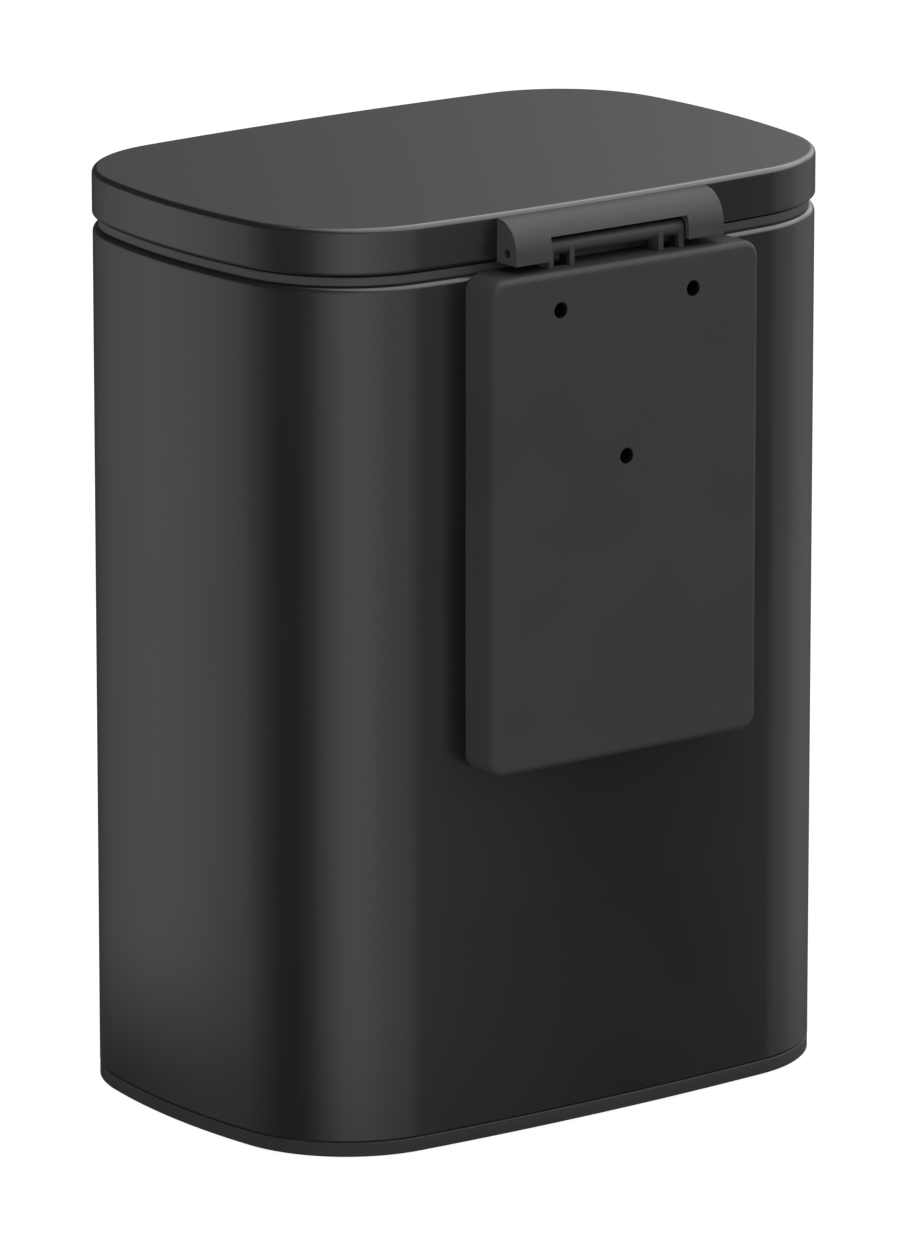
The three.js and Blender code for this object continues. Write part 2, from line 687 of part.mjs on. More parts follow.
function damperRivet([x, z]) {
  return join(
    barY(1.5, [124, 131], x, z, 10),
    barY(2.4, [130.6, 131.8], x, z, 12),
    barY(2.4, [123.4, 124.8], x, z, 12),
  );
}

// ---------------------------------------------------------------- pedal

const ARM_NEAR = 8.5;
const ARM_FAR = 11;
const PEDAL_RIVETS = [-90, -82];
const PAD_FOOT = 3.6;

// The tilted pad's lower front corner reaches as far forward as the cover reaches back.
const PEDAL_FRONT = -(COVER_FACE + PIVOT_Y + PAD_FOOT * Math.sin(LEVER_TILT)) / Math.cos(LEVER_TILT);

// The lever is drawn level about its pivot, with Y running back to the rod.
function pedalLever() {
  const arm = polygon([
    [-96, 5], [-96, 0], [-70, -5], [10, -5.5], [LEVER_REACH + 4.5, -4],
    [LEVER_REACH + 4.5, 4], [10, 6], [-70, 5],
  ]);
  const web = block([-ARM_NEAR - 1, ARM_NEAR + 1], [-96, 60], [2.5, 5]);
  const slot = roundedRectangle([LEVER_REACH - 3.4, LEVER_REACH + 2.9], [-2.5, 2.5], 2.4);
  return cut(
    join(alongX(arm, [ARM_NEAR, ARM_FAR]), alongX(arm, [-ARM_FAR, -ARM_NEAR]), web),
    alongX(slot, [-20, 20]),
    barX(AXLE_HOLE, [-20, 20], 0, 0, 14),
    ...PEDAL_RIVETS.map((y) => barZ(1.9, [0, 8], 0, y, 10)),
  );
}

function pedalPlate() {
  const plate = block([-27, 27], [-96, -79], [5.4, 7.4]);
  return cut(plate, ...PEDAL_RIVETS.map((y) => barZ(1.9, [0, 10], 0, y, 10)));
}

function pedalPad() {
  const outer = roundedRectangle([-31, 31], [PEDAL_FRONT, -78], 5);
  const pad = new THREE.ExtrudeGeometry(outer, {
    depth: 7, bevelEnabled: true, bevelThickness: 1.2, bevelSize: 1.2, bevelOffset: -1.2,
    bevelSegments: 2, curveSegments: 4,
  });
  pad.translate(0, 0, PAD_FOOT);
  const pocket = block([-27.4, 27.4], [-96.4, -70], [0, 7.8]);
  const headRoom = PEDAL_RIVETS.map((y) => barZ(3, [7, 9.4], 0, y, 12));
  return cut(pad, pocket, ...headRoom);
}

function pedalRivet(y) {
  return join(
    barZ(1.5, [1.5, 8], 0, y, 10),
    barZ(2.5, [7.7, 9], 0, y, 12),
    barZ(2.5, [1, 2.1], 0, y, 12),
  );
}

function axleClip(side) {
  const ring = barX(5.5, [18, 19.2], PIVOT_Y, PIVOT_Z, 16);
  const clip = cut(ring, barX(AXLE_HOLE, [10, 25], PIVOT_Y, PIVOT_Z, 14));
  return side > 0 ? clip : clip.rotateY(Math.PI).translate(0, 0, 2 * PIVOT_Z);
}

// ---------------------------------------------------------------- assembly

place('body_shell', bodyShell(), PAINT);
place('body_rim', bodyRim(), PLASTIC);
place('base_tray', baseTray(), PLASTIC);
FOOT_PLACES.forEach((spot, i) => place(`foot_pad_${i + 1}`, footPad(spot), RUBBER));
place('inner_bucket', innerBucket(), BUCKET_PLASTIC);
place('bucket_handle', bucketHandle(), STEEL);

place('lid_shell', lidShell(), PAINT);
place('lid_liner', lidLiner(), PLASTIC);
[-1, 1].forEach((side, i) => place(`lid_bumper_${i + 1}`, lidBumper(side), RUBBER));
place('hinge_housing', hingeHousing(), PLASTIC);
HOUSING_SCREWS.forEach((x, i) => place(`housing_screw_${i + 1}`, housingScrew(x), STEEL));
place('lift_lug', liftLug(), STEEL);
LUG_SCREWS.forEach((x, i) => place(`lug_screw_${i + 1}`, lugScrew(x), STEEL));

place('hinge_mount', hingeMount(), PLASTIC);
place('hinge_pin', barX(PIN_RADIUS, [-65.5, 65.5], HINGE_Y, HINGE_Z, 14), STEEL);
place('backing_plate', backingPlate(), STEEL);
MOUNT_SCREWS.forEach((spot, i) => place(`mount_screw_${i + 1}`, mountScrew(spot), STEEL));
place('rear_cover', rearCover(), PLASTIC);
COVER_SCREWS.forEach(([x, z], i) => (
  place(`cover_screw_${i + 1}`, screwAlongY(x, z, [121, 131.3], 3.7, 1.8, 2.4), STEEL)
));

place('lift_rod', liftRod(), STEEL);
place('rod_guide', rodGuide(), PLASTIC);
place('rod_channel', rodChannel(), PLASTIC);
place('damper_cylinder', damperCylinder(), STEEL);
place('damper_rod', damperRod(), STEEL);
place('damper_bracket', damperBracket(), STEEL);
place('damper_pin', damperPin(), STEEL);
DAMPER_RIVETS.forEach((spot, i) => place(`damper_rivet_${i + 1}`, damperRivet(spot), STEEL));

const pedal = new THREE.Group();
pedal.position.set(0, PIVOT_Y, PIVOT_Z);
pedal.rotation.x = -LEVER_TILT;
root.add(pedal);
place('pedal_lever', pedalLever(), STEEL, pedal);
place('pedal_plate', pedalPlate(), STEEL, pedal);
place('pedal_pad', pedalPad(), RUBBER, pedal);
PEDAL_RIVETS.forEach((y, i) => place(`pedal_rivet_${i + 1}`, pedalRivet(y), STEEL, pedal));
place('pivot_axle', barX(3, [-21, 21], PIVOT_Y, PIVOT_Z, 14), STEEL);
[-1, 1].forEach((side, i) => place(`axle_clip_${i + 1}`, axleClip(side), STEEL));

export default root;
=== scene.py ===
# A black pedal bin, seen from behind. The CAD frame gives the places and the outer sizes, and this
# script makes the fine surfaces, the materials, the studio and the camera. The inner sizes repeat
# the CAD's own. Everything is in metres.
import json
import math

import bmesh
import bpy
from mathutils import Matrix, Vector

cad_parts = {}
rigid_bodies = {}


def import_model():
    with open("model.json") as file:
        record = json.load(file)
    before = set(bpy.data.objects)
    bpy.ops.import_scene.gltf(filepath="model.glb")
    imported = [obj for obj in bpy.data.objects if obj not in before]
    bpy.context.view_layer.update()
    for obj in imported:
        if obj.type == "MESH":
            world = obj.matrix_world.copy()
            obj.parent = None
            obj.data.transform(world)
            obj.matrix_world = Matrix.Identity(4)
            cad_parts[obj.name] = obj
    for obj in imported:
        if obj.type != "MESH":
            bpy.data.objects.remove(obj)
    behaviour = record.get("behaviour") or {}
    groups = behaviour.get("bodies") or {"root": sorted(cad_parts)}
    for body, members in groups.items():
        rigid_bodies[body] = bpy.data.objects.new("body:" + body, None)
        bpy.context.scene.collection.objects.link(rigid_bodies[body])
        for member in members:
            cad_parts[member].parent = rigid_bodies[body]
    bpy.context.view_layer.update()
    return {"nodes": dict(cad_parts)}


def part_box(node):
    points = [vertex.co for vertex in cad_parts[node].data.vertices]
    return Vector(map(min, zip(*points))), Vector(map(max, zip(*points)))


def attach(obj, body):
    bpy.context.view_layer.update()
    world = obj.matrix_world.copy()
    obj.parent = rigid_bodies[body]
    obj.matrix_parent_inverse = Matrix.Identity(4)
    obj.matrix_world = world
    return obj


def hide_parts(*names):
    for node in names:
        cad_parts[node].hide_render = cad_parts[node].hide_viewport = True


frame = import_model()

MM = 0.001
GAP = 0.3 * MM

# How finely round things are divided, and the angle from which an edge stays sharp.
ROUND_SIDES = 40
FINE_SIDES = 60
BORE_SIDES = 24
SHARP_ANGLE = 35

# ------------------------------------------------ sizes from the frame

LID_LOW, LID_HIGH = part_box("lid_shell")
BODY_LOW, BODY_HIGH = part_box("body_shell")
RIM_LOW, RIM_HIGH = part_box("body_rim")
BASE_LOW, BASE_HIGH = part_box("base_tray")
COVER_LOW, COVER_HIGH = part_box("rear_cover")
HOUSING_LOW, HOUSING_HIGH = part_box("hinge_housing")
BUCKET_LOW, BUCKET_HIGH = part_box("inner_bucket")
LINER_LOW, LINER_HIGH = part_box("lid_liner")
PIN_LOW, PIN_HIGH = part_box("hinge_pin")

WIDTH = LID_HIGH.x - LID_LOW.x
DEPTH = LID_HIGH.y - LID_LOW.y
HEIGHT = LID_HIGH.z
REAR = DEPTH / 2
HINGE_Y = (PIN_LOW.y + PIN_HIGH.y) / 2
HINGE_Z = (PIN_LOW.z + PIN_HIGH.z) / 2

# The plan outline's arcs, which are tangent to each other.
FACE_RADIUS = 1655 * MM
SIDE_RADIUS = 397.5 * MM
CORNER_RADIUS = 73.5 * MM
CORNER_STEPS = 22
FACE_STEPS = 8


# ------------------------------------------------ mesh helpers

def make_object(name, mesh, body, slot, material, *replaced):
    """Adds a smooth piece to the scene, attaches it to its body and hides the CAD parts that it
    replaces. The slot is not used.
    """
    mesh.validate()
    obj = bpy.data.objects.new(name, mesh)
    bpy.context.scene.collection.objects.link(obj)
    obj.data.materials.clear()
    obj.data.materials.append(material)
    obj.data.shade_smooth()
    obj.data.set_sharp_from_angle(angle=math.radians(SHARP_ANGLE))
    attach(obj, body)
    if replaced:
        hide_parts(*replaced)
    return obj


def mesh_from(verts, faces):
    """A mesh with its faces turned outward."""
    mesh = bpy.data.meshes.new("shape")
    mesh.from_pydata([tuple(v) for v in verts], [], faces)
    bm = bmesh.new()
    bm.from_mesh(mesh)
    bmesh.ops.recalc_face_normals(bm, faces=bm.faces)
    bm.to_mesh(mesh)
    bm.free()
    return mesh


def corner_centre():
    """Centres of the arcs in the +X +Y quarter: the corner's, the rear's and the side's."""
    rear = Vector((0, REAR - FACE_RADIUS))
    side = Vector((WIDTH / 2 - SIDE_RADIUS, 0))
    span = (side - rear).length
    unit = (side - rear) / span
    to_rear = FACE_RADIUS - CORNER_RADIUS
    to_side = SIDE_RADIUS - CORNER_RADIUS
    along = (to_rear ** 2 - to_side ** 2 + span ** 2) / (2 * span)
    across = math.sqrt(to_rear ** 2 - along ** 2)
    return rear + unit * along + Vector((unit.y, -unit.x)) * across, rear, side


def arc(centre, radius, start, end, steps):
    """Points from start up to, but not at, end."""
    angles = [start + (end - start) * i / steps for i in range(steps)]
    return [(centre[0] + radius * math.cos(a), centre[1] + radius * math.sin(a)) for a in angles]


def arc_to(centre, radius, start, end, steps):
    """Points from start up to and at end."""
    last = centre[0] + radius * math.cos(end), centre[1] + radius * math.sin(end)
    return arc(centre, radius, start, end, steps) + [last]


def outline(inset):
    """The plan outline, counter-clockwise, moved in by inset."""
    corner, rear, side = corner_centre()
    side_end = math.atan2((corner - side).y, (corner - side).x)
    rear_start = math.atan2((corner - rear).y, (corner - rear).x)
    quarter = arc(side, SIDE_RADIUS - inset, 0, side_end, FACE_STEPS)
    quarter += arc(corner, CORNER_RADIUS - inset, side_end, rear_start, CORNER_STEPS)
    quarter += arc(rear, FACE_RADIUS - inset, rear_start, math.pi / 2, FACE_STEPS)
    quarter.append((0, REAR - inset))
    half = quarter + [(-x, y) for x, y in reversed(quarter[:-1])]
    return half + [(x, -y) for x, y in reversed(half[1:-1])]


def wall_y(x, inset):
    """The Y of the rear wall's surface at x."""
    radius = FACE_RADIUS - inset
    return REAR - FACE_RADIUS + math.sqrt(radius ** 2 - x ** 2)


def loft(loops, closed=False, caps=True):
    """Skins a list of loops that have the same number of points."""
    count = len(loops[0])
    verts = [v for loop in loops for v in loop]
    bands = len(loops) if closed else len(loops) - 1
    faces = []
    for band in range(bands):
        low = band * count
        high = (band + 1) % len(loops) * count
        for i in range(count):
            j = (i + 1) % count
            faces.append((low + i, low + j, high + j, high + i))
    if caps and not closed:
        faces.append(tuple(range(count)))
        faces.append(tuple(len(verts) - count + i for i in range(count)))
    return mesh_from(verts, faces)


def sweep(profile, ring=False):
    """Sweeps (inset, z) corners round the outline. Without ring, the ends run in to flat caps."""
    loops = [[(x, y, z) for x, y in outline(inset)] for inset, z in profile]
    return loft(loops, closed=ring)


def bend(inset, z, radius, start, end, steps=8):
    """An arc in a profile, with angles in degrees from straight out to straight up."""
    points = []
    for i in range(steps + 1):
        angle = math.radians(start + (end - start) * i / steps)
        points.append((inset - radius * math.cos(angle), z + radius * math.sin(angle)))
    return points


def prism_x(points, x0, x1):
    """A shape drawn in (y, z), extruded along X."""
    return loft([[(x, y, z) for y, z in points] for x in (x0, x1)])


def tube(radius, start, end, sides=ROUND_SIDES):
    """A round bar between two points."""
    start, end = Vector(start), Vector(end)
    turn = (end - start).to_track_quat("Z", "Y")
    loops = []
    for centre in (start, end):
        angles = [2 * math.pi * i / sides for i in range(sides)]
        ring = [Vector((radius * math.cos(a), radius * math.sin(a), 0)) for a in angles]
        loops.append([turn @ p + centre for p in ring])
    return loft(loops)


def brick(low, high):
    """A box between two corners."""
    x0, y0, z0 = low
    x1, y1, z1 = high
    lower = [(x0, y0, z0), (x1, y0, z0), (x1, y1, z0), (x0, y1, z0)]
    upper = [(x, y, z1) for x, y, _ in lower]
    return loft([lower, upper])


def lathe(profile, x, y):
    """A solid of (radius, z) rings about a vertical axis, with flat ends."""
    loops = []
    angles = [2 * math.pi * i / ROUND_SIDES for i in range(ROUND_SIDES)]
    for radius, z in profile:
        loops.append([(x + radius * math.cos(a), y + radius * math.sin(a), z) for a in angles])
    return loft(loops)


def boolean(base, tools, operation):
    """Joins or cuts meshes and returns the new mesh."""
    scene = bpy.context.scene.collection.objects
    target = bpy.data.objects.new("boolean_base", base)
    scene.link(target)
    helpers = []
    for tool in tools:
        helper = bpy.data.objects.new("boolean_tool", tool)
        scene.link(helper)
        helpers.append(helper)
        modifier = target.modifiers.new("boolean", "BOOLEAN")
        modifier.object = helper
        modifier.operation = operation
        modifier.solver = "EXACT"
    bpy.context.view_layer.update()
    depsgraph = bpy.context.evaluated_depsgraph_get()
    result = bpy.data.meshes.new_from_object(target.evaluated_get(depsgraph))
    for obj in [target, *helpers]:
        bpy.data.objects.remove(obj)
    return result


def soften(obj, width, segments=3, angle=40):
    """Rounds the sharp edges of a piece."""
    modifier = obj.modifiers.new("edges", "BEVEL")
    modifier.width = width
    modifier.segments = segments
    modifier.limit_method = "ANGLE"
    modifier.angle_limit = math.radians(angle)
    modifier.harden_normals = True


def even_normals(obj):
    """Keeps large flat faces flat in the shading, next to small rounded ones."""
    modifier = obj.modifiers.new("normals", "WEIGHTED_NORMAL")
    modifier.keep_sharp = True
    modifier.weight = 80


def centre_of(node):
    """The middle of a CAD node's box."""
    low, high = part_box(node)
    return (low + high) / 2


def numbered(name, count):
    """The names of a numbered family of nodes."""
    return [f"{name}_{i + 1}" for i in range(count)]


def bar_y(radius, centre, y0, y1, sides=ROUND_SIDES):
    """A round bar along Y through a point, from y0 to y1."""
    return tube(radius, (centre.x, y0, centre.z), (centre.x, y1, centre.z), sides)


def bores(name, count, radius, span):
    """Cutters along Y, within a span of Y, for a numbered family of screws or rivets."""
    return [bar_y(radius, centre_of(node), *span, BORE_SIDES) for node in numbered(name, count)]


# ------------------------------------------------ materials

# The middle part of a noise pattern, where nearly all of its values lie.
NOISE_LOW, NOISE_HIGH = 0.25, 0.75

# How far a finish's roughness strays from its mean. The paint's roughness stays under 0.27, where
# the denoiser changes how it treats a glossy surface and would draw faint contour lines.
PAINT_STRAY = 0.015
PLASTIC_STRAY = 0.05


def new_material(name, color, roughness, metallic=0.0, specular=0.5):
    """A plain material, with its node tree and its shader."""
    material = bpy.data.materials.new(name)
    material.use_nodes = True
    shader = material.node_tree.nodes["Principled BSDF"]
    shader.inputs["Base Color"].default_value = (*color, 1)
    shader.inputs["Roughness"].default_value = roughness
    shader.inputs["Metallic"].default_value = metallic
    shader.inputs["Specular IOR Level"].default_value = specular
    return material, material.node_tree, shader


def noise(tree, scale, detail, stretch=(1, 1, 1), twist=0.0):
    """A noise pattern in the object's own metres. Twist hides the grid that it is built on."""
    coordinates = tree.nodes.new("ShaderNodeTexCoord")
    mapping = tree.nodes.new("ShaderNodeMapping")
    mapping.inputs["Scale"].default_value = stretch
    texture = tree.nodes.new("ShaderNodeTexNoise")
    texture.inputs["Scale"].default_value = scale
    texture.inputs["Detail"].default_value = detail
    texture.inputs["Distortion"].default_value = twist
    tree.links.new(coordinates.outputs["Object"], mapping.inputs["Vector"])
    tree.links.new(mapping.outputs["Vector"], texture.inputs["Vector"])
    return texture.outputs["Fac"]


def spread(tree, source, low, high):
    """Turns a 0 to 1 pattern into a range of numbers."""
    node = tree.nodes.new("ShaderNodeMapRange")
    node.interpolation_type = "SMOOTHSTEP"
    node.inputs["From Min"].default_value = NOISE_LOW
    node.inputs["From Max"].default_value = NOISE_HIGH
    node.inputs["To Min"].default_value = low
    node.inputs["To Max"].default_value = high
    tree.links.new(source, node.inputs["Value"])
    return node.outputs["Result"]


def shade_of(tree, source, color, amount):
    """Varies a colour by a pattern, by the given share either way."""
    ramp = tree.nodes.new("ShaderNodeValToRGB")
    ramp.color_ramp.interpolation = "EASE"
    ramp.color_ramp.elements[0].position = NOISE_LOW
    ramp.color_ramp.elements[1].position = NOISE_HIGH
    ramp.color_ramp.elements[0].color = (*[c * (1 - amount) for c in color], 1)
    ramp.color_ramp.elements[1].color = (*[c * (1 + amount) for c in color], 1)
    tree.links.new(source, ramp.inputs["Fac"])
    return ramp.outputs["Color"]


def vary(tree, shader, source, low, high):
    """Lets a pattern set the roughness within a range."""
    tree.links.new(spread(tree, source, low, high), shader.inputs["Roughness"])


def tint(tree, shader, source, color, amount):
    """Lets a pattern shade the colour."""
    tree.links.new(shade_of(tree, source, color, amount), shader.inputs["Base Color"])


def add_bump(tree, shader, source, strength, distance):
    """Lets a pattern raise the surface."""
    node = tree.nodes.new("ShaderNodeBump")
    node.inputs["Strength"].default_value = strength
    node.inputs["Distance"].default_value = distance
    tree.links.new(source, node.inputs["Height"])
    tree.links.new(node.outputs["Normal"], shader.inputs["Normal"])


def satin_paint(name, color, roughness):
    """Baked satin paint: a faint orange peel over patches of slightly different gloss."""
    material, tree, shader = new_material(name, color, roughness)
    patches = noise(tree, 9.0, 1.0)
    peel = noise(tree, 450.0, 2.0, twist=2.0)
    vary(tree, shader, patches, roughness - PAINT_STRAY, roughness + PAINT_STRAY)
    tint(tree, shader, patches, color, 0.06)
    add_bump(tree, shader, peel, 0.12, 0.05 * MM)
    return material


def moulded_plastic(name, color, roughness, grain=1400.0, depth=0.3, specular=0.25):
    """Injection-moulded plastic with a fine spark-eroded grain."""
    material, tree, shader = new_material(name, color, roughness, specular=specular)
    texture = noise(tree, grain, 3.0)
    patches = noise(tree, 14.0, 3.0)
    vary(tree, shader, texture, roughness - PLASTIC_STRAY, roughness + PLASTIC_STRAY)
    tint(tree, shader, patches, color, 0.08)
    add_bump(tree, shader, texture, depth, 0.04 * MM)
    return material


def plated_steel(name, color, roughness):
    """Zinc-plated steel with fine rolling lines and a cloudy tone."""
    material, tree, shader = new_material(name, color, roughness, metallic=1.0)
    lines = noise(tree, 600.0, 3.0, stretch=(1, 1, 0.04))
    cloud = noise(tree, 60.0, 4.0)
    vary(tree, shader, lines, roughness - 0.07, roughness + 0.09)
    tint(tree, shader, cloud, color, 0.12)
    add_bump(tree, shader, lines, 0.15, 0.02 * MM)
    return material


def matt_rubber(name, color):
    """Dull rubber with a powdery grain."""
    material, tree, shader = new_material(name, color, 0.8)
    texture = noise(tree, 2200.0, 4.0)
    vary(tree, shader, texture, 0.72, 0.88)
    tint(tree, shader, texture, color, 0.15)
    add_bump(tree, shader, texture, 0.35, 0.03 * MM)
    return material


BODY_PAINT = satin_paint("satin_black_body", (0.004, 0.004, 0.0041), 0.255)
LID_PAINT = satin_paint("satin_black_lid", (0.0045, 0.0048, 0.0046), 0.255)
BASE_PLASTIC = moulded_plastic("black_base_plastic", (0.0095, 0.0095, 0.0096), 0.55, specular=0.2)
RIM_PLASTIC = moulded_plastic("black_rim_plastic", (0.016, 0.016, 0.0164), 0.5, specular=0.4)
HINGE_PLASTIC = moulded_plastic("black_hinge_plastic", (0.017, 0.017, 0.017), 0.6)
COVER_PLASTIC = moulded_plastic("black_cover_plastic", (0.0145, 0.0145, 0.0145), 0.6, specular=0.2)
# The wells' near-black plastic is painted shade in the screw wells, darker than the cover round
# them.
WELL_SHADE_PLASTIC = moulded_plastic("well_painted_shade_plastic", (0.003, 0.003, 0.003), 0.75, specular=0.05)
BUCKET_PLASTIC = moulded_plastic("grey_bucket_plastic", (0.045, 0.046, 0.048), 0.45, 900.0, 0.2)
STEEL = plated_steel("zinc_plated_steel", (0.5, 0.51, 0.52), 0.34)
DARK_STEEL = plated_steel("black_oxide_steel", (0.006, 0.006, 0.0062), 0.5)
RUBBER = matt_rubber("black_rubber", (0.012, 0.012, 0.012))

# ------------------------------------------------ lid

LID_EDGE = 3 * MM
LID_CURL = 2 * MM
LID_WALL = 0.8 * MM
LID_BORE = 2.4 * MM
LID_BORE_SPAN = (0.118, 0.135)

# How far beyond a rounded edge a flat face has its next loop, which keeps the shading clean.
SUPPORT = 1 * MM
FAR_SUPPORT = 12 * SUPPORT

LINER_WALL = 2.2 * MM
LINER_GAP = 0.6 * MM
LINER_CHAMFER = 0.6 * MM
LINER_STEP = 2 * MM
LINER_DISH = 27 * MM
LINER_MIDDLE = 60 * MM
BEAD_INSETS = (23.6 * MM, 22.6 * MM)
SLOPE_INSETS = (21.5 * MM, 25.5 * MM)

# How far in the middle of a rounded edge lies, as a share of its radius.
ROUND_MIDDLE = 0.3
BUMPER_EDGE = 0.8 * MM


def make_lid():
    """The painted lid: a rounded upper edge, a curled lower edge and holes for the housing."""
    top = HEIGHT - LID_EDGE
    low = LID_LOW.z + LID_CURL
    profile = [(LID_EDGE + FAR_SUPPORT, HEIGHT), (LID_EDGE + SUPPORT, HEIGHT)]
    profile += bend(LID_EDGE, top, LID_EDGE, 90, 0, 10)
    profile += [(0, top - SUPPORT), (0, low + SUPPORT)]
    profile += bend(LID_CURL, low, LID_CURL, 0, -90, 8)
    profile += bend(LID_CURL, low, LID_CURL - LID_WALL, -90, 0, 6)
    profile += bend(LID_EDGE, top, LID_EDGE - LID_WALL, 0, 90, 6)
    mesh = sweep(profile)
    mesh = boolean(mesh, bores("housing_screw", 2, LID_BORE, LID_BORE_SPAN), "DIFFERENCE")
    even_normals(make_object("lid_skin", mesh, "lid", "lid_paint", LID_PAINT, "lid_shell"))


def make_liner():
    """The lid's plastic lining: a shallow dish with a rounded step and a bead round its rim."""
    low = LINER_LOW.z
    rise = LINER_HIGH.z - LINER_WALL - low
    edge = LID_WALL + LINER_GAP
    profile = [(LINER_MIDDLE, low + rise), (LINER_DISH + LINER_STEP, low + rise)]
    profile += [(LINER_DISH + LINER_STEP * (1 - math.sin(a)),
                 low + rise - LINER_STEP * (1 - math.cos(a))) for a in (0.5, 1.0)]
    profile += [(BEAD_INSETS[0], low + LINER_CHAMFER), (BEAD_INSETS[1], low)]
    profile += [(edge + LINER_CHAMFER, low), (edge, low + LINER_CHAMFER), (edge, low + LINER_WALL)]
    profile += [(SLOPE_INSETS[0], low + LINER_WALL), (SLOPE_INSETS[1], LINER_HIGH.z)]
    make_object("liner_skin", sweep(profile), "lid", "black_plastic", BASE_PLASTIC, "lid_liner")


def make_bumpers():
    """The two rubber stops under the lid."""
    for name in numbered("lid_bumper", 2):
        low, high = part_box(name)
        centre = (low + high) / 2
        radius = (high.x - low.x) / 2
        middle = BUMPER_EDGE * ROUND_MIDDLE
        profile = [(radius - BUMPER_EDGE, low.z), (radius - middle, low.z + middle)]
        profile += [(radius, low.z + BUMPER_EDGE), (radius, high.z)]
        mesh = lathe(profile, centre.x, centre.y)
        make_object(name + "_soft", mesh, "lid", "rubber", RUBBER, name)


make_lid()
make_liner()
make_bumpers()

# ------------------------------------------------ body, rim and base

BODY_INSET = WIDTH / 2 - BODY_HIGH.x
BODY_WALL = 0.8 * MM
BODY_EDGE = 3.5 * MM
BODY_CHAMFER = 0.3 * MM
BODY_LEVELS = (60 * MM, 250 * MM, 430 * MM)
FLANGE_INSET = 8 * MM
PEDAL_SLOT = ((-15.5 * MM, -0.14, 10.8 * MM), (15.5 * MM, -0.105, 41 * MM))

# The way for the damper through the rear wall: how far it goes either side of the damper, and
# its limits in y and z.
DAMPER_SLOT_HALF = 7 * MM
DAMPER_SLOT_Y = (0.115, 0.135)
DAMPER_SLOT_Z = (0.284, 0.441)

BODY_BORE_SPAN = (0.118, 0.132)
MOUNT_SCREW_BORE = 2.4 * MM
COVER_SCREW_BORE = 2.2 * MM
RIVET_BORE = 2.0 * MM

RIM_INSET = 12 * MM
RIM_WALL = 2.2 * MM
RIM_SEAT = 0.12 * MM
RIM_EDGE = 0.8 * MM
RIM_CHAMFER = 0.6 * MM
RIM_NOTCH = ((-11 * MM, 0.105, 0.44), (11 * MM, 0.1222, 0.48))


def make_body():
    """The painted sheet body: a tall wall with a rolled top edge, a flange and the cut-outs."""
    inner = BODY_INSET + BODY_WALL
    bend_at = BODY_INSET + BODY_EDGE
    top = BODY_HIGH.z
    shoulder = top - BODY_EDGE
    profile = [(BODY_INSET + BODY_CHAMFER, BODY_LOW.z), (BODY_INSET, BODY_LOW.z + BODY_CHAMFER)]
    profile += [(BODY_INSET, z) for z in BODY_LEVELS]
    profile += [(BODY_INSET, shoulder - SUPPORT)]
    profile += bend(bend_at, shoulder, BODY_EDGE, 0, 90, 10)
    profile += [(FLANGE_INSET, top), (FLANGE_INSET, top - BODY_WALL)]
    profile += bend(bend_at, shoulder, BODY_EDGE - BODY_WALL, 90, 0, 6)
    profile += [(inner, z) for z in reversed(BODY_LEVELS)]
    profile += [(inner, BODY_LOW.z)]
    mesh = sweep(profile, ring=True)
    x = centre_of("damper_cylinder").x
    (y0, y1), (z0, z1) = DAMPER_SLOT_Y, DAMPER_SLOT_Z
    cutters = [brick(*PEDAL_SLOT)]
    cutters.append(brick((x - DAMPER_SLOT_HALF, y0, z0), (x + DAMPER_SLOT_HALF, y1, z1)))
    cutters += bores("mount_screw", 4, MOUNT_SCREW_BORE, BODY_BORE_SPAN)
    cutters += bores("cover_screw", 3, COVER_SCREW_BORE, BODY_BORE_SPAN)
    cutters += bores("damper_rivet", 2, RIVET_BORE, BODY_BORE_SPAN)
    mesh = boolean(mesh, cutters, "DIFFERENCE")
    even_normals(make_object("body_skin", mesh, "root", "body_paint", BODY_PAINT, "body_shell"))


def make_rim():
    """The plastic rim: it lies on the body's flange and hangs inside it, notched for the rod."""
    outer = WIDTH / 2 - RIM_HIGH.x
    low = BODY_HIGH.z + RIM_SEAT
    top = RIM_HIGH.z
    profile = [(outer, low)]
    profile += bend(outer + RIM_EDGE, top - RIM_EDGE, RIM_EDGE, 0, 90, 5)
    profile += [(RIM_INSET - RIM_CHAMFER, top), (RIM_INSET, top - RIM_CHAMFER)]
    profile += [(RIM_INSET, RIM_LOW.z), (RIM_INSET - RIM_WALL, RIM_LOW.z)]
    profile += [(RIM_INSET - RIM_WALL, low)]
    mesh = sweep(profile, ring=True)
    mesh = boolean(mesh, [brick(*RIM_NOTCH)], "DIFFERENCE")
    make_object("rim_skin", mesh, "root", "black_plastic", RIM_PLASTIC, "body_rim")


BASE_RING = 8.9 * MM
BASE_WALL = BODY_INSET + 1.5 * MM
BASE_THICK = 2.5 * MM
BASE_EDGE = 0.9 * MM
BASE_CHAMFER = 0.6 * MM
BASE_FLOOR_CHAMFER = 1 * MM
BASE_MIDDLE = 40 * MM
FOOT_INSET = 7 * MM
FOOT_THICK = 2.2 * MM
ROD_BORE = 2.6 * MM
ROD_BORE_SPAN = (0.04, 0.06)
POST_FOOT = 3.3 * MM
POST_CHAMFER = 0.6 * MM
POST_RADIUS = 11 * MM
POST_TOP = 45.7 * MM
PAD_SHAPE = ((7.4 * MM, 0), (8.4 * MM, 0.3 * MM), (9 * MM, 1.2 * MM))
PAD_RADIUS = 9 * MM
CHEEK_STARTS = (-17 * MM, 14 * MM)
CHEEK_THICK = 3 * MM
CHEEK_FOOT = 15 * MM
CHEEK_HALVES = (12 * MM, 7 * MM)
CHEEK_EDGE = 0.4 * MM
AXLE_BORE = 3.3 * MM


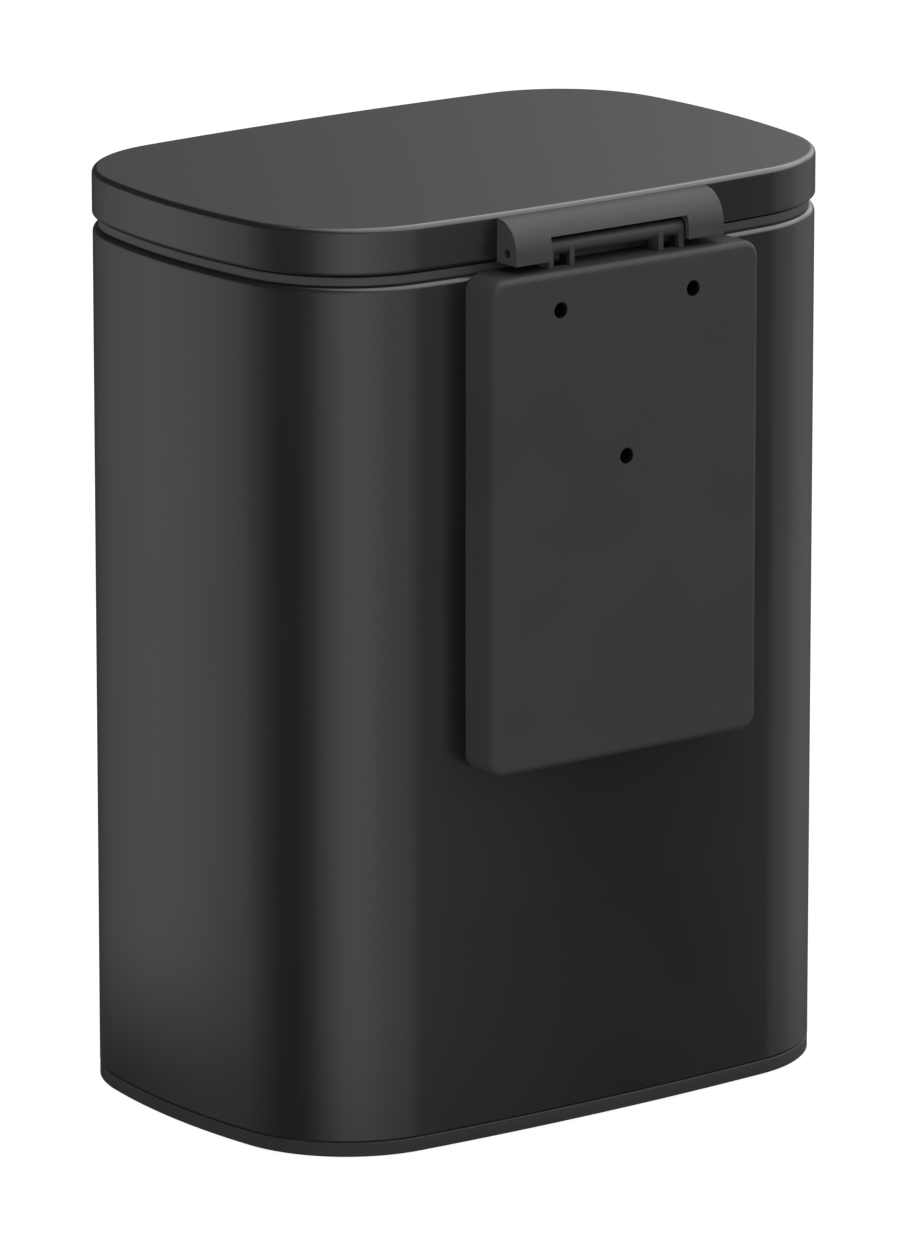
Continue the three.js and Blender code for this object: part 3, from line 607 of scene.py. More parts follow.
def make_base():
    """The base: a foot ring outside, a wall up inside the body, and the bucket's floor."""
    floor_top = BASE_HIGH.z
    outer = WIDTH / 2 - BASE_HIGH.x
    foot = BASE_LOW.z
    profile = [(BASE_MIDDLE, floor_top), (BASE_WALL + BASE_FLOOR_CHAMFER, floor_top)]
    profile += [(BASE_WALL, floor_top - BASE_FLOOR_CHAMFER), (BASE_WALL, BASE_RING)]
    profile += [(outer + BASE_EDGE, BASE_RING)]
    profile += bend(outer + BASE_EDGE, BASE_RING - BASE_EDGE, BASE_EDGE, 90, 0, 4)[1:]
    profile += [(outer, foot + BASE_CHAMFER), (outer + BASE_CHAMFER, foot), (FOOT_INSET, foot)]
    profile += [(FOOT_INSET, foot + FOOT_THICK), (BASE_WALL + BASE_THICK, foot + FOOT_THICK)]
    profile += [(BASE_WALL + BASE_THICK, floor_top - BASE_THICK)]
    rod = centre_of("lift_rod")
    z0, z1 = ROD_BORE_SPAN
    cutters = [brick(*PEDAL_SLOT), tube(ROD_BORE, (0, rod.y, z0), (0, rod.y, z1), BORE_SIDES)]
    mesh = boolean(sweep(profile), cutters, "DIFFERENCE")
    make_object("base_skin", mesh, "root", "black_plastic", BASE_PLASTIC, "base_tray")


def make_feet():
    """The base's four posts and the rubber pads under them."""
    for i in (1, 2, 3, 4):
        pad = centre_of(f"foot_pad_{i}")
        post = [(POST_RADIUS - POST_CHAMFER, POST_FOOT), (POST_RADIUS, POST_FOOT + POST_CHAMFER)]
        mesh = lathe(post + [(POST_RADIUS, POST_TOP)], pad.x, pad.y)
        make_object(f"foot_post_{i}", mesh, "root", "black_plastic", BASE_PLASTIC)
        _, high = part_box(f"foot_pad_{i}")
        mesh = lathe([*PAD_SHAPE, (PAD_RADIUS, high.z)], pad.x, pad.y)
        make_object(f"foot_pad_{i}_soft", mesh, "root", "rubber", RUBBER, f"foot_pad_{i}")


def make_bearings():
    """The two cheeks under the base that carry the pedal's axle."""
    axle = centre_of("pivot_axle")
    wide, narrow = CHEEK_HALVES
    for i, x in enumerate(CHEEK_STARTS):
        points = [(axle.y - wide, POST_TOP), (axle.y - narrow, CHEEK_FOOT)]
        points += [(axle.y + narrow, CHEEK_FOOT), (axle.y + wide, POST_TOP)]
        cheek = prism_x(points, x, x + CHEEK_THICK)
        hole = tube(AXLE_BORE, (x - 0.01, axle.y, axle.z), (x + 0.01, axle.y, axle.z))
        mesh = boolean(cheek, [hole], "DIFFERENCE")
        piece = make_object(f"axle_bearing_{i + 1}", mesh, "root", "black_plastic", BASE_PLASTIC)
        soften(piece, CHEEK_EDGE)


make_body()
make_rim()
make_base()
make_feet()
make_bearings()

# ------------------------------------------------ bucket

BUCKET_SCALE = (BUCKET_HIGH.y - BUCKET_LOW.y) / (DEPTH - (WIDTH - (BUCKET_HIGH.x - BUCKET_LOW.x)))
BUCKET_SHIFT = (BUCKET_HIGH.y + BUCKET_LOW.y) / 2
BUCKET_INSET = WIDTH / 2 - BUCKET_HIGH.x
BUCKET_UPPER = BUCKET_INSET + 3 * MM
BUCKET_LOWER = BUCKET_INSET + 9 * MM
BUCKET_WALL = 1.6 * MM
BUCKET_RIM = 8 * MM
BUCKET_RIM_EDGE = 1.6 * MM
BUCKET_RIM_FOOT = 0.8 * MM
BUCKET_CHAMFER = 0.6 * MM
BUCKET_ROUND = 4 * MM

# Corners of the bucket's foot as (inset, z): under its floor, and where the wall meets the floor.
UNDER_FLOOR = ((14 * MM, 1.2 * MM), (10 * MM, 0))
INNER_FOOT = ((0, 6 * MM), (1.5 * MM, 3.5 * MM), (5 * MM, 2.8 * MM))

BAIL_RADIUS = 2.2 * MM
BAIL_BORE = 3.2 * MM
BAIL_REACH = 0.2


def seat_bucket(mesh):
    """Narrows a mesh front to back and moves it forward, clear of the lift rod."""
    narrowed = Matrix.Diagonal((1, BUCKET_SCALE, 1, 1))
    mesh.transform(Matrix.Translation((0, BUCKET_SHIFT, 0)) @ narrowed)
    return mesh


def make_bucket():
    """The inner bucket: a tapered wall, a hanging rim, a rounded foot and the bail's two bores."""
    top, low = BUCKET_HIGH.z, BUCKET_LOW.z
    inner_top = BUCKET_UPPER + BUCKET_WALL
    rim_low = top - BUCKET_RIM
    profile = [(BUCKET_LOWER + inset, low + z) for inset, z in UNDER_FLOOR]
    profile += bend(BUCKET_LOWER + BUCKET_ROUND, low + BUCKET_ROUND, BUCKET_ROUND, -90, 0, 6)
    profile += [(BUCKET_UPPER, rim_low), (BUCKET_INSET + BUCKET_RIM_FOOT, rim_low)]
    profile += [(BUCKET_INSET, rim_low + BUCKET_RIM_FOOT)]
    edge = BUCKET_RIM_EDGE
    profile += bend(BUCKET_INSET + edge, top - edge, edge, 0, 90, 5)
    profile += [(inner_top - BUCKET_CHAMFER, top), (inner_top, top - BUCKET_CHAMFER)]
    profile += [(BUCKET_LOWER + BUCKET_WALL + inset, low + z) for inset, z in INNER_FOOT]
    bail_low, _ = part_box("bucket_handle")
    z = bail_low.z + BAIL_RADIUS
    hole = tube(BAIL_BORE, (-BAIL_REACH, 0, z), (BAIL_REACH, 0, z), BORE_SIDES)
    mesh = seat_bucket(boolean(sweep(profile), [hole], "DIFFERENCE"))
    make_object("bucket_skin", mesh, "root", "bucket_plastic", BUCKET_PLASTIC, "inner_bucket")


make_bucket()

# ------------------------------------------------ hinge housing and mount

HOUSING_WALL = 2 * MM
PIN_HOLE = 2.3 * MM
BARREL_RADIUS = 4.5 * MM
RIB_OUTER = 44.3 * MM
RIB_INNER = 30.7 * MM
RIB_THICK = 3.1 * MM
MOUNT_FACE = 136 * MM
WINDOW_HALF = 44.8 * MM
WINDOW_TOP = 487.2 * MM
WINDOW_FRONT = 0.138
HOUSING_END = 2.5 * MM
HOUSING_FRONT = 0.118
HOUSING_BORE = 1.9 * MM
HOUSING_BORE_SPAN = (0.11, 0.1355)
HOUSING_EDGE = 0.35 * MM
WEB_STARTS = (-48.4 * MM, 45.4 * MM)
WEB_THICK = 3 * MM
SCREW_PAD_HALF = 5 * MM
SCREW_PAD_Y = (HOUSING_FRONT, 0.1365)
SCREW_PAD_Z = (0.484, 0.494)
LID_CORE_Z = (0.45, 0.52)
PIN_REACH = 0.08

# The cam that pushes the damper's rod: its nose from the pin, its slope and its half width.
CAM_NOSE = (-5.55 * MM, -0.85 * MM)
CAM_SLOPE = (-3 * MM, -2.34 * MM)
CAM_HALF = 2 * MM

MOUNT_GAP = 0.35 * MM
MOUNT_BAR = ((-50 * MM, 0.457), (50 * MM, 0.4675))
MOUNT_TONGUE = ((-24 * MM, 0.424), (24 * MM, 0.458))
TONGUE_THICK = 3 * MM
MOUNT_BORE_SPAN = (0.12, 0.14)
MOUNT_EDGE = 0.3 * MM
DAMPER_WAY_HALF = 3 * MM
DAMPER_WAY_REAR = 2.7 * MM
DAMPER_WAY_Z = (0.45, 0.486)

# The ribs start at this height, inside the bar and under the housing. Cutters run from there, and
# out to a place behind the whole hinge.
HINGE_FOOT = 0.46
HINGE_FAR = 0.15


def quarter_round(wall, steps=24):
    """The housing's section in (y, z): a quarter round that turns down to a flat bottom."""
    reach = HOUSING_HIGH.y - REAR - wall
    rise = HOUSING_HIGH.z - HINGE_Z - wall
    low = HOUSING_LOW.z - wall
    points = [(HOUSING_FRONT, low), (HOUSING_HIGH.y - wall, low)]
    for i in range(steps + 1):
        angle = math.pi / 2 * i / steps
        points.append((REAR + reach * math.cos(angle), HINGE_Z + rise * math.sin(angle)))
    points.append((HOUSING_FRONT, HOUSING_HIGH.z - wall))
    return points


def make_housing():
    """The lid's hinge moulding: a hollow quarter round with a window, two webs and the cam."""
    half = HOUSING_HIGH.x
    inside = half - HOUSING_END
    skin = prism_x(quarter_round(0), -half, half)
    hollow = prism_x(quarter_round(HOUSING_WALL), -inside, inside)
    window = brick((-WINDOW_HALF, WINDOW_FRONT, HINGE_FOOT), (WINDOW_HALF, HINGE_FAR, WINDOW_TOP))
    mesh = boolean(skin, [hollow, window], "DIFFERENCE")
    joined = []
    for x in WEB_STARTS:
        web = prism_x(quarter_round(HOUSING_WALL / 2), x, x + WEB_THICK)
        trim = brick((x - 0.01, 0.11, HINGE_FOOT), (x + 0.02, HINGE_FAR, HOUSING_LOW.z))
        joined.append(boolean(web, [trim], "DIFFERENCE"))
    (y0, y1), (z0, z1) = SCREW_PAD_Y, SCREW_PAD_Z
    for node in numbered("housing_screw", 2):
        x = centre_of(node).x
        joined.append(brick((x - SCREW_PAD_HALF, y0, z0), (x + SCREW_PAD_HALF, y1, z1)))
    x = centre_of("damper_rod").x
    y, z = HINGE_Y + CAM_NOSE[0], HINGE_Z + CAM_NOSE[1]
    root = HOUSING_HIGH.z - 1 * MM
    cam = [(y + CAM_SLOPE[0], z + CAM_SLOPE[1]), (y, z), (y, root), (y + CAM_SLOPE[0], root)]
    joined.append(prism_x(cam, x - CAM_HALF, x + CAM_HALF))
    mesh = boolean(mesh, joined, "UNION")
    cutters = [sweep([(-GAP, z) for z in LID_CORE_Z])]
    cutters.append(tube(PIN_HOLE, (-PIN_REACH, HINGE_Y, HINGE_Z), (PIN_REACH, HINGE_Y, HINGE_Z)))
    cutters += bores("housing_screw", 2, HOUSING_BORE, HOUSING_BORE_SPAN)
    mesh = boolean(mesh, cutters, "DIFFERENCE")
    piece = make_object("housing_skin", mesh, "lid", "hinge_plastic", HINGE_PLASTIC,
                        "hinge_housing")
    soften(piece, HOUSING_EDGE, 3, 50)


def make_mount():
    """The fixed part of the hinge: a screwed bar, two pairs of ribs and the barrel on top."""
    back = REAR + MOUNT_GAP
    (x0, z0), (x1, z1) = MOUNT_TONGUE
    joined = [brick((x0, back, z0), (x1, back + TONGUE_THICK, z1))]
    low, high = HINGE_Y - BARREL_RADIUS, HINGE_Y + BARREL_RADIUS
    web_front, web_top = MOUNT_FACE - 0.2 * MM, COVER_HIGH.z - 0.1 * MM
    for side in (-1, 1):
        for outer in (RIB_OUTER, RIB_INNER):
            x = sorted((side * (outer - RIB_THICK), side * outer))
            joined.append(brick((x[0], low, HINGE_FOOT), (x[1], high, HINGE_Z)))
        x = sorted((side * (RIB_INNER - 1 * MM), side * (RIB_OUTER - 1 * MM)))
        joined.append(brick((x[0], web_front, HINGE_FOOT), (x[1], high, web_top)))
    ends = (-RIB_OUTER, HINGE_Y, HINGE_Z), (RIB_OUTER, HINGE_Y, HINGE_Z)
    joined.append(tube(BARREL_RADIUS, *ends, FINE_SIDES))
    (x0, z0), (x1, z1) = MOUNT_BAR
    mesh = boolean(brick((x0, back, z0), (x1, MOUNT_FACE, z1)), joined, "UNION")
    damper = centre_of("damper_rod")
    z0, z1 = DAMPER_WAY_Z
    cutters = [tube(PIN_HOLE, (-0.06, HINGE_Y, HINGE_Z), (0.06, HINGE_Y, HINGE_Z))]
    cutters.append(brick((damper.x - DAMPER_WAY_HALF, 0.125, z0),
                         (damper.x + DAMPER_WAY_HALF, damper.y + DAMPER_WAY_REAR, z1)))
    cutters += bores("mount_screw", 4, MOUNT_SCREW_BORE, MOUNT_BORE_SPAN)
    mesh = boolean(mesh, cutters, "DIFFERENCE")
    piece = make_object("mount_skin", mesh, "root", "hinge_plastic", HINGE_PLASTIC, "hinge_mount")
    soften(piece, MOUNT_EDGE, 2, 50)


make_housing()
make_mount()

# ------------------------------------------------ rear cover

COVER_WALL = 2 * MM
COVER_EDGE = 3.6 * MM
COVER_CORNER = 9 * MM
WELL_RADIUS = 4.3 * MM
RIB_OPENING = (27.2 * MM, 44.7 * MM)
RIB_OPENING_Z = (0.463, 0.48)
OPENING_REAR = 141 * MM
COVER_LIP = 0.5 * MM
LIP_STEPS = 24
WELL_EDGE = 0.5 * MM
WELL_WALL = 2 * MM
WELL_FLOOR = 0.131
COVER_SCREW_HOLE = 2.3 * MM

# A sleeve lines each well, set back a little from the cover's face. The sleeve and the post are in
# a near-black plastic, which is painted shade in the wells.
SHADE_SLEEVE_GAP = 0.02 * MM
SHADE_SLEEVE_THICK = 0.25 * MM
SHADE_SLEEVE_DEPTH = 0.6 * MM


def circle(x, y, z, radius):
    """A ring of points about an axis along Y."""
    angles = [2 * math.pi * i / ROUND_SIDES for i in range(ROUND_SIDES)]
    return [(x + radius * math.cos(a), y, z + radius * math.sin(a)) for a in angles]


def cover_loop(inset):
    """The cover's outline in (x, z), counter-clockwise from the back."""
    half = COVER_HIGH.x - inset
    low, high = COVER_LOW.z + inset, COVER_HIGH.z - inset
    radius = max(COVER_CORNER - inset, 1 * MM)
    points = []
    for cx, cz, start in ((half - radius, low + radius, -90), (half - radius, high - radius, 0)):
        a = math.radians(start)
        points += arc_to((cx, cz), radius, a, a + math.pi / 2, 10)
    points += [((half - radius) * (6 - i) / 6, high) for i in range(1, 6)] + [(0, high)]
    left = [(-x, z) for x, z in reversed(points[:-1])]
    return points + left


def cover_side(inset, y):
    """One loop of the cover, at a fixed y, or where the cover meets the body if y is None."""
    return [(x, wall_y(x, 0) if y is None else y, z) for x, z in cover_loop(inset)]


def make_lip():
    """The thin lip on the cover's top, which reaches in over the body to the rim."""
    half = COVER_HIGH.x - COVER_CORNER
    inner = WIDTH / 2 - RIM_HIGH.x - MOUNT_GAP
    across = [half * (2 * i / LIP_STEPS - 1) for i in range(LIP_STEPS + 1)]
    edge = [(x, wall_y(x, 0)) for x in across] + [(x, wall_y(x, inner)) for x in reversed(across)]
    strip = loft([[(x, y, z) for x, y in edge] for z in (COVER_HIGH.z - COVER_LIP, COVER_HIGH.z)])
    make_object("cover_lip", strip, "root", "cover_plastic", COVER_PLASTIC, "rear_cover")


def fill_face(bm, loops):
    """Fills a flat face that has holes, from its closed loops of vertices."""
    edges = []
    for loop in loops:
        for a, b in zip(loop, loop[1:] + loop[:1]):
            edges.append(bm.edges.get((a, b)) or bm.edges.new((a, b)))
    bmesh.ops.triangle_fill(bm, use_beauty=True, use_dissolve=False, edges=edges)


def bridge(bm, first, second):
    """Joins two loops of vertices by a band of faces."""
    count = len(first)
    for i in range(count):
        j = (i + 1) % count
        bm.faces.new((first[i], first[j], second[j], second[i]))


def make_cover():
    """The shallow cover: a hollow shell with rounded edges, three screw wells and a lip."""
    face_y = COVER_HIGH.y
    inner_y = face_y - COVER_WALL
    screws = [centre_of(node) for node in numbered("cover_screw", 3)]
    bm = bmesh.new()

    def add(loop):
        return [bm.verts.new(p) for p in loop]

    outer = [add(cover_side(0, None)), add(cover_side(0, face_y - COVER_EDGE - SUPPORT))]
    for inset, lift in bend(COVER_EDGE, 0, COVER_EDGE, 0, 90, 8):
        outer.append(add(cover_side(inset, face_y - COVER_EDGE + lift)))
    outer.append(add(cover_side(COVER_EDGE + SUPPORT, face_y)))
    inner_edge = COVER_EDGE - COVER_WALL
    inner = [add(cover_side(COVER_WALL, None)), add(cover_side(COVER_WALL, inner_y - inner_edge))]
    inner.append(add(cover_side(COVER_WALL + inner_edge, inner_y)))
    for rings in (outer, inner):
        for a, b in zip(rings, rings[1:]):
            bridge(bm, a, b)
    bridge(bm, outer[0], inner[0])
    levels = [(WELL_RADIUS + WELL_EDGE * (1 - math.sin(a)), face_y - WELL_EDGE * (1 - math.cos(a)))
              for a in (0, math.pi / 6, math.pi / 3, math.pi / 2)]
    levels.append((WELL_RADIUS, inner_y))
    fronts, backs = [], []
    for screw in screws:
        rings = [add(circle(screw.x, y, screw.z, radius)) for radius, y in levels]
        for a, b in zip(rings, rings[1:]):
            bridge(bm, a, b)
        fronts.append(rings[0])
        backs.append(rings[-1])
    fill_face(bm, [outer[-1], *fronts])
    fill_face(bm, [inner[-1], *backs])
    bmesh.ops.recalc_face_normals(bm, faces=bm.faces)
    mesh = bpy.data.meshes.new("cover")
    bm.to_mesh(mesh)
    bm.free()
    slots = []
    z0, z1 = RIB_OPENING_Z
    for side in (-1, 1):
        x = sorted(side * edge for edge in RIB_OPENING)
        slots.append(brick((x[0], 0.12, z0), (x[1], OPENING_REAR, z1)))
    mesh = boolean(mesh, slots, "DIFFERENCE")
    piece = make_object("cover_skin", mesh, "root", "cover_plastic", COVER_PLASTIC, "rear_cover")
    even_normals(piece)
    make_lip()
    make_wells(screws, face_y, inner_y)


def make_wells(screws, face_y, inner_y):
    """The posts behind the screw wells, with their sleeves and the screws' bores, in a near-black
    plastic that is painted shade in the wells.
    """
    for i, screw in enumerate(screws):
        foot = wall_y(abs(screw.x) + 6 * MM, 0)
        post = bar_y(WELL_RADIUS + WELL_WALL, screw, foot, inner_y)
        shade_sleeve = bar_y(WELL_RADIUS - SHADE_SLEEVE_GAP, screw, foot, face_y - SHADE_SLEEVE_DEPTH)
        well = bar_y(WELL_RADIUS - SHADE_SLEEVE_THICK, screw, WELL_FLOOR, 0.16)
        hole = bar_y(COVER_SCREW_HOLE, screw, 0.11, 0.14, BORE_SIDES)
        mesh = boolean(boolean(post, [shade_sleeve], "UNION"), [well, hole], "DIFFERENCE")
        make_object(f"screw_well_{i + 1}", mesh, "root", "cover_plastic", WELL_SHADE_PLASTIC,
                    "rear_cover")


make_cover()

# ------------------------------------------------ carried-over CAD pieces

STEEL_NODES = ["bucket_handle", "lift_lug", "backing_plate", "lift_rod", "damper_cylinder",
               "damper_rod", "damper_bracket", "damper_pin", *numbered("damper_rivet", 2),
               "pedal_lever", "pedal_plate", *numbered("pedal_rivet", 2), "pivot_axle",
               *numbered("axle_clip", 2), *numbered("lug_screw", 2)]
DARK_NODES = ["hinge_pin", *numbered("housing_screw", 2), *numbered("mount_screw", 4),
              *numbered("cover_screw", 3)]
PLASTIC_NODES = ["rod_guide", "rod_channel"]
CARRIED_EDGE = 0.25 * MM
WELD_WITHIN = 0.01 * MM


def dress(names, material):
    """Gives CAD nodes a material, and welded, smooth and slightly rounded edges."""
    for name in names:
        obj = frame["nodes"][name]
        obj.modifiers.new("weld", "WELD").merge_threshold = WELD_WITHIN
        soften(obj, CARRIED_EDGE, 2, 38)
        obj.data.shade_smooth()
        obj.data.materials.clear()
        obj.data.materials.append(material)


dress(STEEL_NODES, STEEL)
dress(DARK_NODES, DARK_STEEL)
dress(PLASTIC_NODES, BASE_PLASTIC)

# ------------------------------------------------ pedal pad

# The pad's sizes in the lever's own frame, with the axle at 0.
PAD_CORNER = 5 * MM
PAD_SOFT = 1.2 * MM
PAD_FOOT = 3.6 * MM
PAD_THICK = 7 * MM
PAD_REAR = -78 * MM
PLATE_RECESS = ((-27.4 * MM, -96.4 * MM, 0), (27.4 * MM, -70 * MM, 7.8 * MM))
RIVET_RECESS = ((3 * MM, 7 * MM), (3 * MM, 9.4 * MM))
RIVET_PLACES = (-90 * MM, -82 * MM)
GROOVES = 6
GROOVE_HALF = 0.6 * MM
GROOVE_DEPTH = 0.9 * MM
GROOVE_MARGIN = 2.5 * MM
GROOVE_END = 4 * MM
PAD_EDGE = 0.25 * MM


def rounded_loop(half, y0, y1, z, inset):
    """A rounded rectangle in plan, moved in by inset."""
    points = []
    radius = PAD_CORNER - inset
    low, high, edge = y0 + inset + radius, y1 - inset - radius, half - inset - radius
    for cx, cy, start in ((edge, low, -90), (edge, high, 0), (-edge, high, 90), (-edge, low, 180)):
        a = math.radians(start)
        points += arc_to((cx, cy), radius, a, a + math.pi / 2, 8)
    return [(x, y, z) for x, y in points]


def make_pad():
    """The rubber pad on the pedal, drawn level about the pivot and then tilted with the lever."""
    low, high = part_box("pedal_pad")
    axle = centre_of("pivot_axle")
    rod_low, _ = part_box("lift_rod")
    rod = centre_of("lift_rod")
    drop = axle.z - rod_low.z - 2 * MM
    tilt = math.asin(drop / (rod.y - axle.y))
    top = PAD_FOOT + PAD_THICK
    front = (low.y - axle.y - PAD_FOOT * math.sin(tilt)) / math.cos(tilt)
    half = high.x
    profile = bend(PAD_SOFT, PAD_FOOT, PAD_SOFT, -90, 0, 4)
    profile += bend(PAD_SOFT, top, PAD_SOFT, 0, 90, 4)
    loops = [rounded_loop(half, front, PAD_REAR, z, inset) for inset, z in profile]
    cutters = [brick(*PLATE_RECESS)] + [lathe(RIVET_RECESS, 0, y) for y in RIVET_PLACES]
    crown = top + PAD_SOFT
    reach = half - GROOVE_END
    pitch = (PAD_REAR - front - 2 * GROOVE_MARGIN) / GROOVES
    for i in range(GROOVES):
        y = front + GROOVE_MARGIN + pitch * (i + 0.5)
        cutters.append(brick((-reach, y - GROOVE_HALF, crown - GROOVE_DEPTH),
                             (reach, y + GROOVE_HALF, crown + 1)))
    mesh = boolean(loft(loops), cutters, "DIFFERENCE")
    mesh.transform(Matrix.Rotation(-tilt, 4, "X"))
    mesh.transform(Matrix.Translation((0, axle.y, axle.z)))
    piece = make_object("pedal_pad_ribbed", mesh, "pedal", "pedal_rubber", RUBBER, "pedal_pad")
    soften(piece, PAD_EDGE, 2, 50)


make_pad()

# ------------------------------------------------ studio and camera

# The floor is so large that its edge lies on the horizon. It glows, so that it shows almost white.
FLOOR_SIZE = 500
FLOOR_GLOW = 0.95

# The floor's shade in the bin's reflections: how far it reaches, how strong it is all round, how
# much more it has towards one compass direction, and how bright it is.
SHADE_REACH = 260 * MM
SHADE_STEPS = 6
SHADE_BASE, SHADE_MORE = 0.32, 0.68
SHADE_COMPASS = -35
SHADE_LEVEL = 0.06


def add_plain(name, mesh):
    """Adds a piece of the studio to the scene."""
    obj = bpy.data.objects.new(name, mesh)
    bpy.context.scene.collection.objects.link(obj)
    return obj


def make_floor():
    """The pale floor, and a painted shadow under the bin that keeps the floor from shining up
    through the slot.
    """
    size = FLOOR_SIZE
    corners = [(-size, -size, 0), (size, -size, 0), (size, size, 0), (-size, size, 0)]
    mesh = mesh_from(corners, [(0, 1, 2, 3)])
    floor = add_plain("floor", mesh)
    material, _, shader = new_material("pale_floor", (0.05, 0.05, 0.05), 0.9, specular=0.0)
    shader.inputs["Emission Color"].default_value = (1, 1, 1, 1)
    shader.inputs["Emission Strength"].default_value = FLOOR_GLOW
    mesh.materials.append(material)
    floor.visible_glossy = False
    # A dark patch just inside the bin's outline: a painted shadow under the bin, so that the
    # glowing floor doesn't show through the pedal slot.
    edge = [(x, y, 0.1 * MM) for x, y in outline(6 * MM)]
    under = mesh_from(edge, [tuple(range(len(edge)))])
    patch = add_plain("painted_shadow_under_bin", under)
    painted_shadow_material, _, _ = new_material("painted_shadow_under_bin", (0.03, 0.03, 0.03), 0.9, specular=0.0)
    under.materials.append(painted_shadow_material)


def make_floor_shade():
    """The shaded floor close round the bin, which shows only in the bin's reflections."""
    loops = [[(x, y, 0.2 * MM) for x, y in outline(-SHADE_REACH * i / SHADE_STEPS)]
             for i in range(SHADE_STEPS + 1)]
    mesh = loft(loops, caps=False)
    fade = mesh.attributes.new("fade", "FLOAT", "POINT")
    count = len(loops[0])
    for i, value in enumerate(fade.data):
        x, y, _ = mesh.vertices[i].co
        facing = max(0, math.cos(math.atan2(y, x) - math.radians(SHADE_COMPASS)))
        value.value = (SHADE_BASE + SHADE_MORE * facing ** 2) * (1 - (i // count) / SHADE_STEPS)
    material = bpy.data.materials.new("floor_shade")
    material.use_nodes = True
    tree = material.node_tree
    tree.nodes.clear()
    share = tree.nodes.new("ShaderNodeAttribute")
    share.attribute_name = "fade"
    clear = tree.nodes.new("ShaderNodeBsdfTransparent")
    dark = tree.nodes.new("ShaderNodeEmission")
    dark.inputs["Strength"].default_value = SHADE_LEVEL
    mix = tree.nodes.new("ShaderNodeMixShader")
    out = tree.nodes.new("ShaderNodeOutputMaterial")
    tree.links.new(share.outputs["Fac"], mix.inputs["Fac"])
    tree.links.new(clear.outputs["BSDF"], mix.inputs[1])
    tree.links.new(dark.outputs["Emission"], mix.inputs[2])
    tree.links.new(mix.outputs["Shader"], out.inputs["Surface"])
    mesh.materials.append(material)
    shade = add_plain("floor_shade", mesh)
    shade.visible_camera = False
    shade.visible_diffuse = False
    shade.visible_shadow = False


# How bright the room is by compass direction, in degrees from +X towards +Y, near the horizon and
# higher up. Near it, the broadest light stands behind the camera, which is at 53, and has a dark
# gap on either hand. Two softer lights stand beyond the gaps, and the front left is dark.
LOW_LEVELS = [(-180, 0.6), (-150, 0.2), (-127, 0.05), (-105, 0.07), (-90, 0.2), (-75, 0.36),
              (-60, 0.85), (-45, 1.0), (-32, 0.55), (-18, 0.44), (-5, 0.14), (10, 0.1), (24, 0.27),
              (38, 0.98), (52, 1.47), (66, 1.6), (80, 1.28), (95, 1.0), (108, 1.0), (119, 0.38),
              (126, 0.08), (134, 0.03), (145, 0.76), (158, 0.55), (175, 0.74)]
HIGH_LEVELS = [(-180, 0.9), (-160, 1.6), (-150, 1.95), (-139, 1.5), (-128, 0.33), (-120, 0.05),
               (-100, 0.03), (0, 0.08), (22, 0.12), (45, 0.5), (70, 0.6), (100, 0.4), (130, 0.4),
               (165, 0.9)]
BRIGHTEST = 2.0

# Heights of a direction, as its Z: where the low levels give way to the high ones, and where the
# room fades towards the floor, down to a share of its brightness.
BLEND_Z = (-0.05, 0.2)
FADE_Z = (-0.55, -0.24)
FADE_SHARE = 0.45

# A broad soft panel overhead: the compass direction and height of its middle, how far from that
# it is at full strength, and where it ends, all in degrees. Then its brightness.
CAP_COMPASS = 142
CAP_HEIGHT = 57
CAP_FULL = 35
CAP_END = 59
CAP_LEVEL = 3.3


def level_ramp(tree, source, levels):
    """Brightness by compass direction, joined up all the way round."""
    node = tree.nodes.new("ShaderNodeValToRGB")
    elements = node.color_ramp.elements
    stops = levels + [(180, levels[0][1])]
    while len(elements) < len(stops):
        elements.new(0.5)
    for element, (degrees, level) in zip(elements, stops):
        element.position = (degrees + 180) / 360
        element.color = (*[level / BRIGHTEST] * 3, 1)
    tree.links.new(source, node.inputs["Fac"])
    return node.outputs["Color"]


def soft_step(tree, source, low, high):
    """A smooth step from 0 to 1 as the source goes from low to high."""
    node = tree.nodes.new("ShaderNodeMapRange")
    node.interpolation_type = "SMOOTHSTEP"
    node.inputs["From Min"].default_value = low
    node.inputs["From Max"].default_value = high
    tree.links.new(source, node.inputs["Value"])
    return node


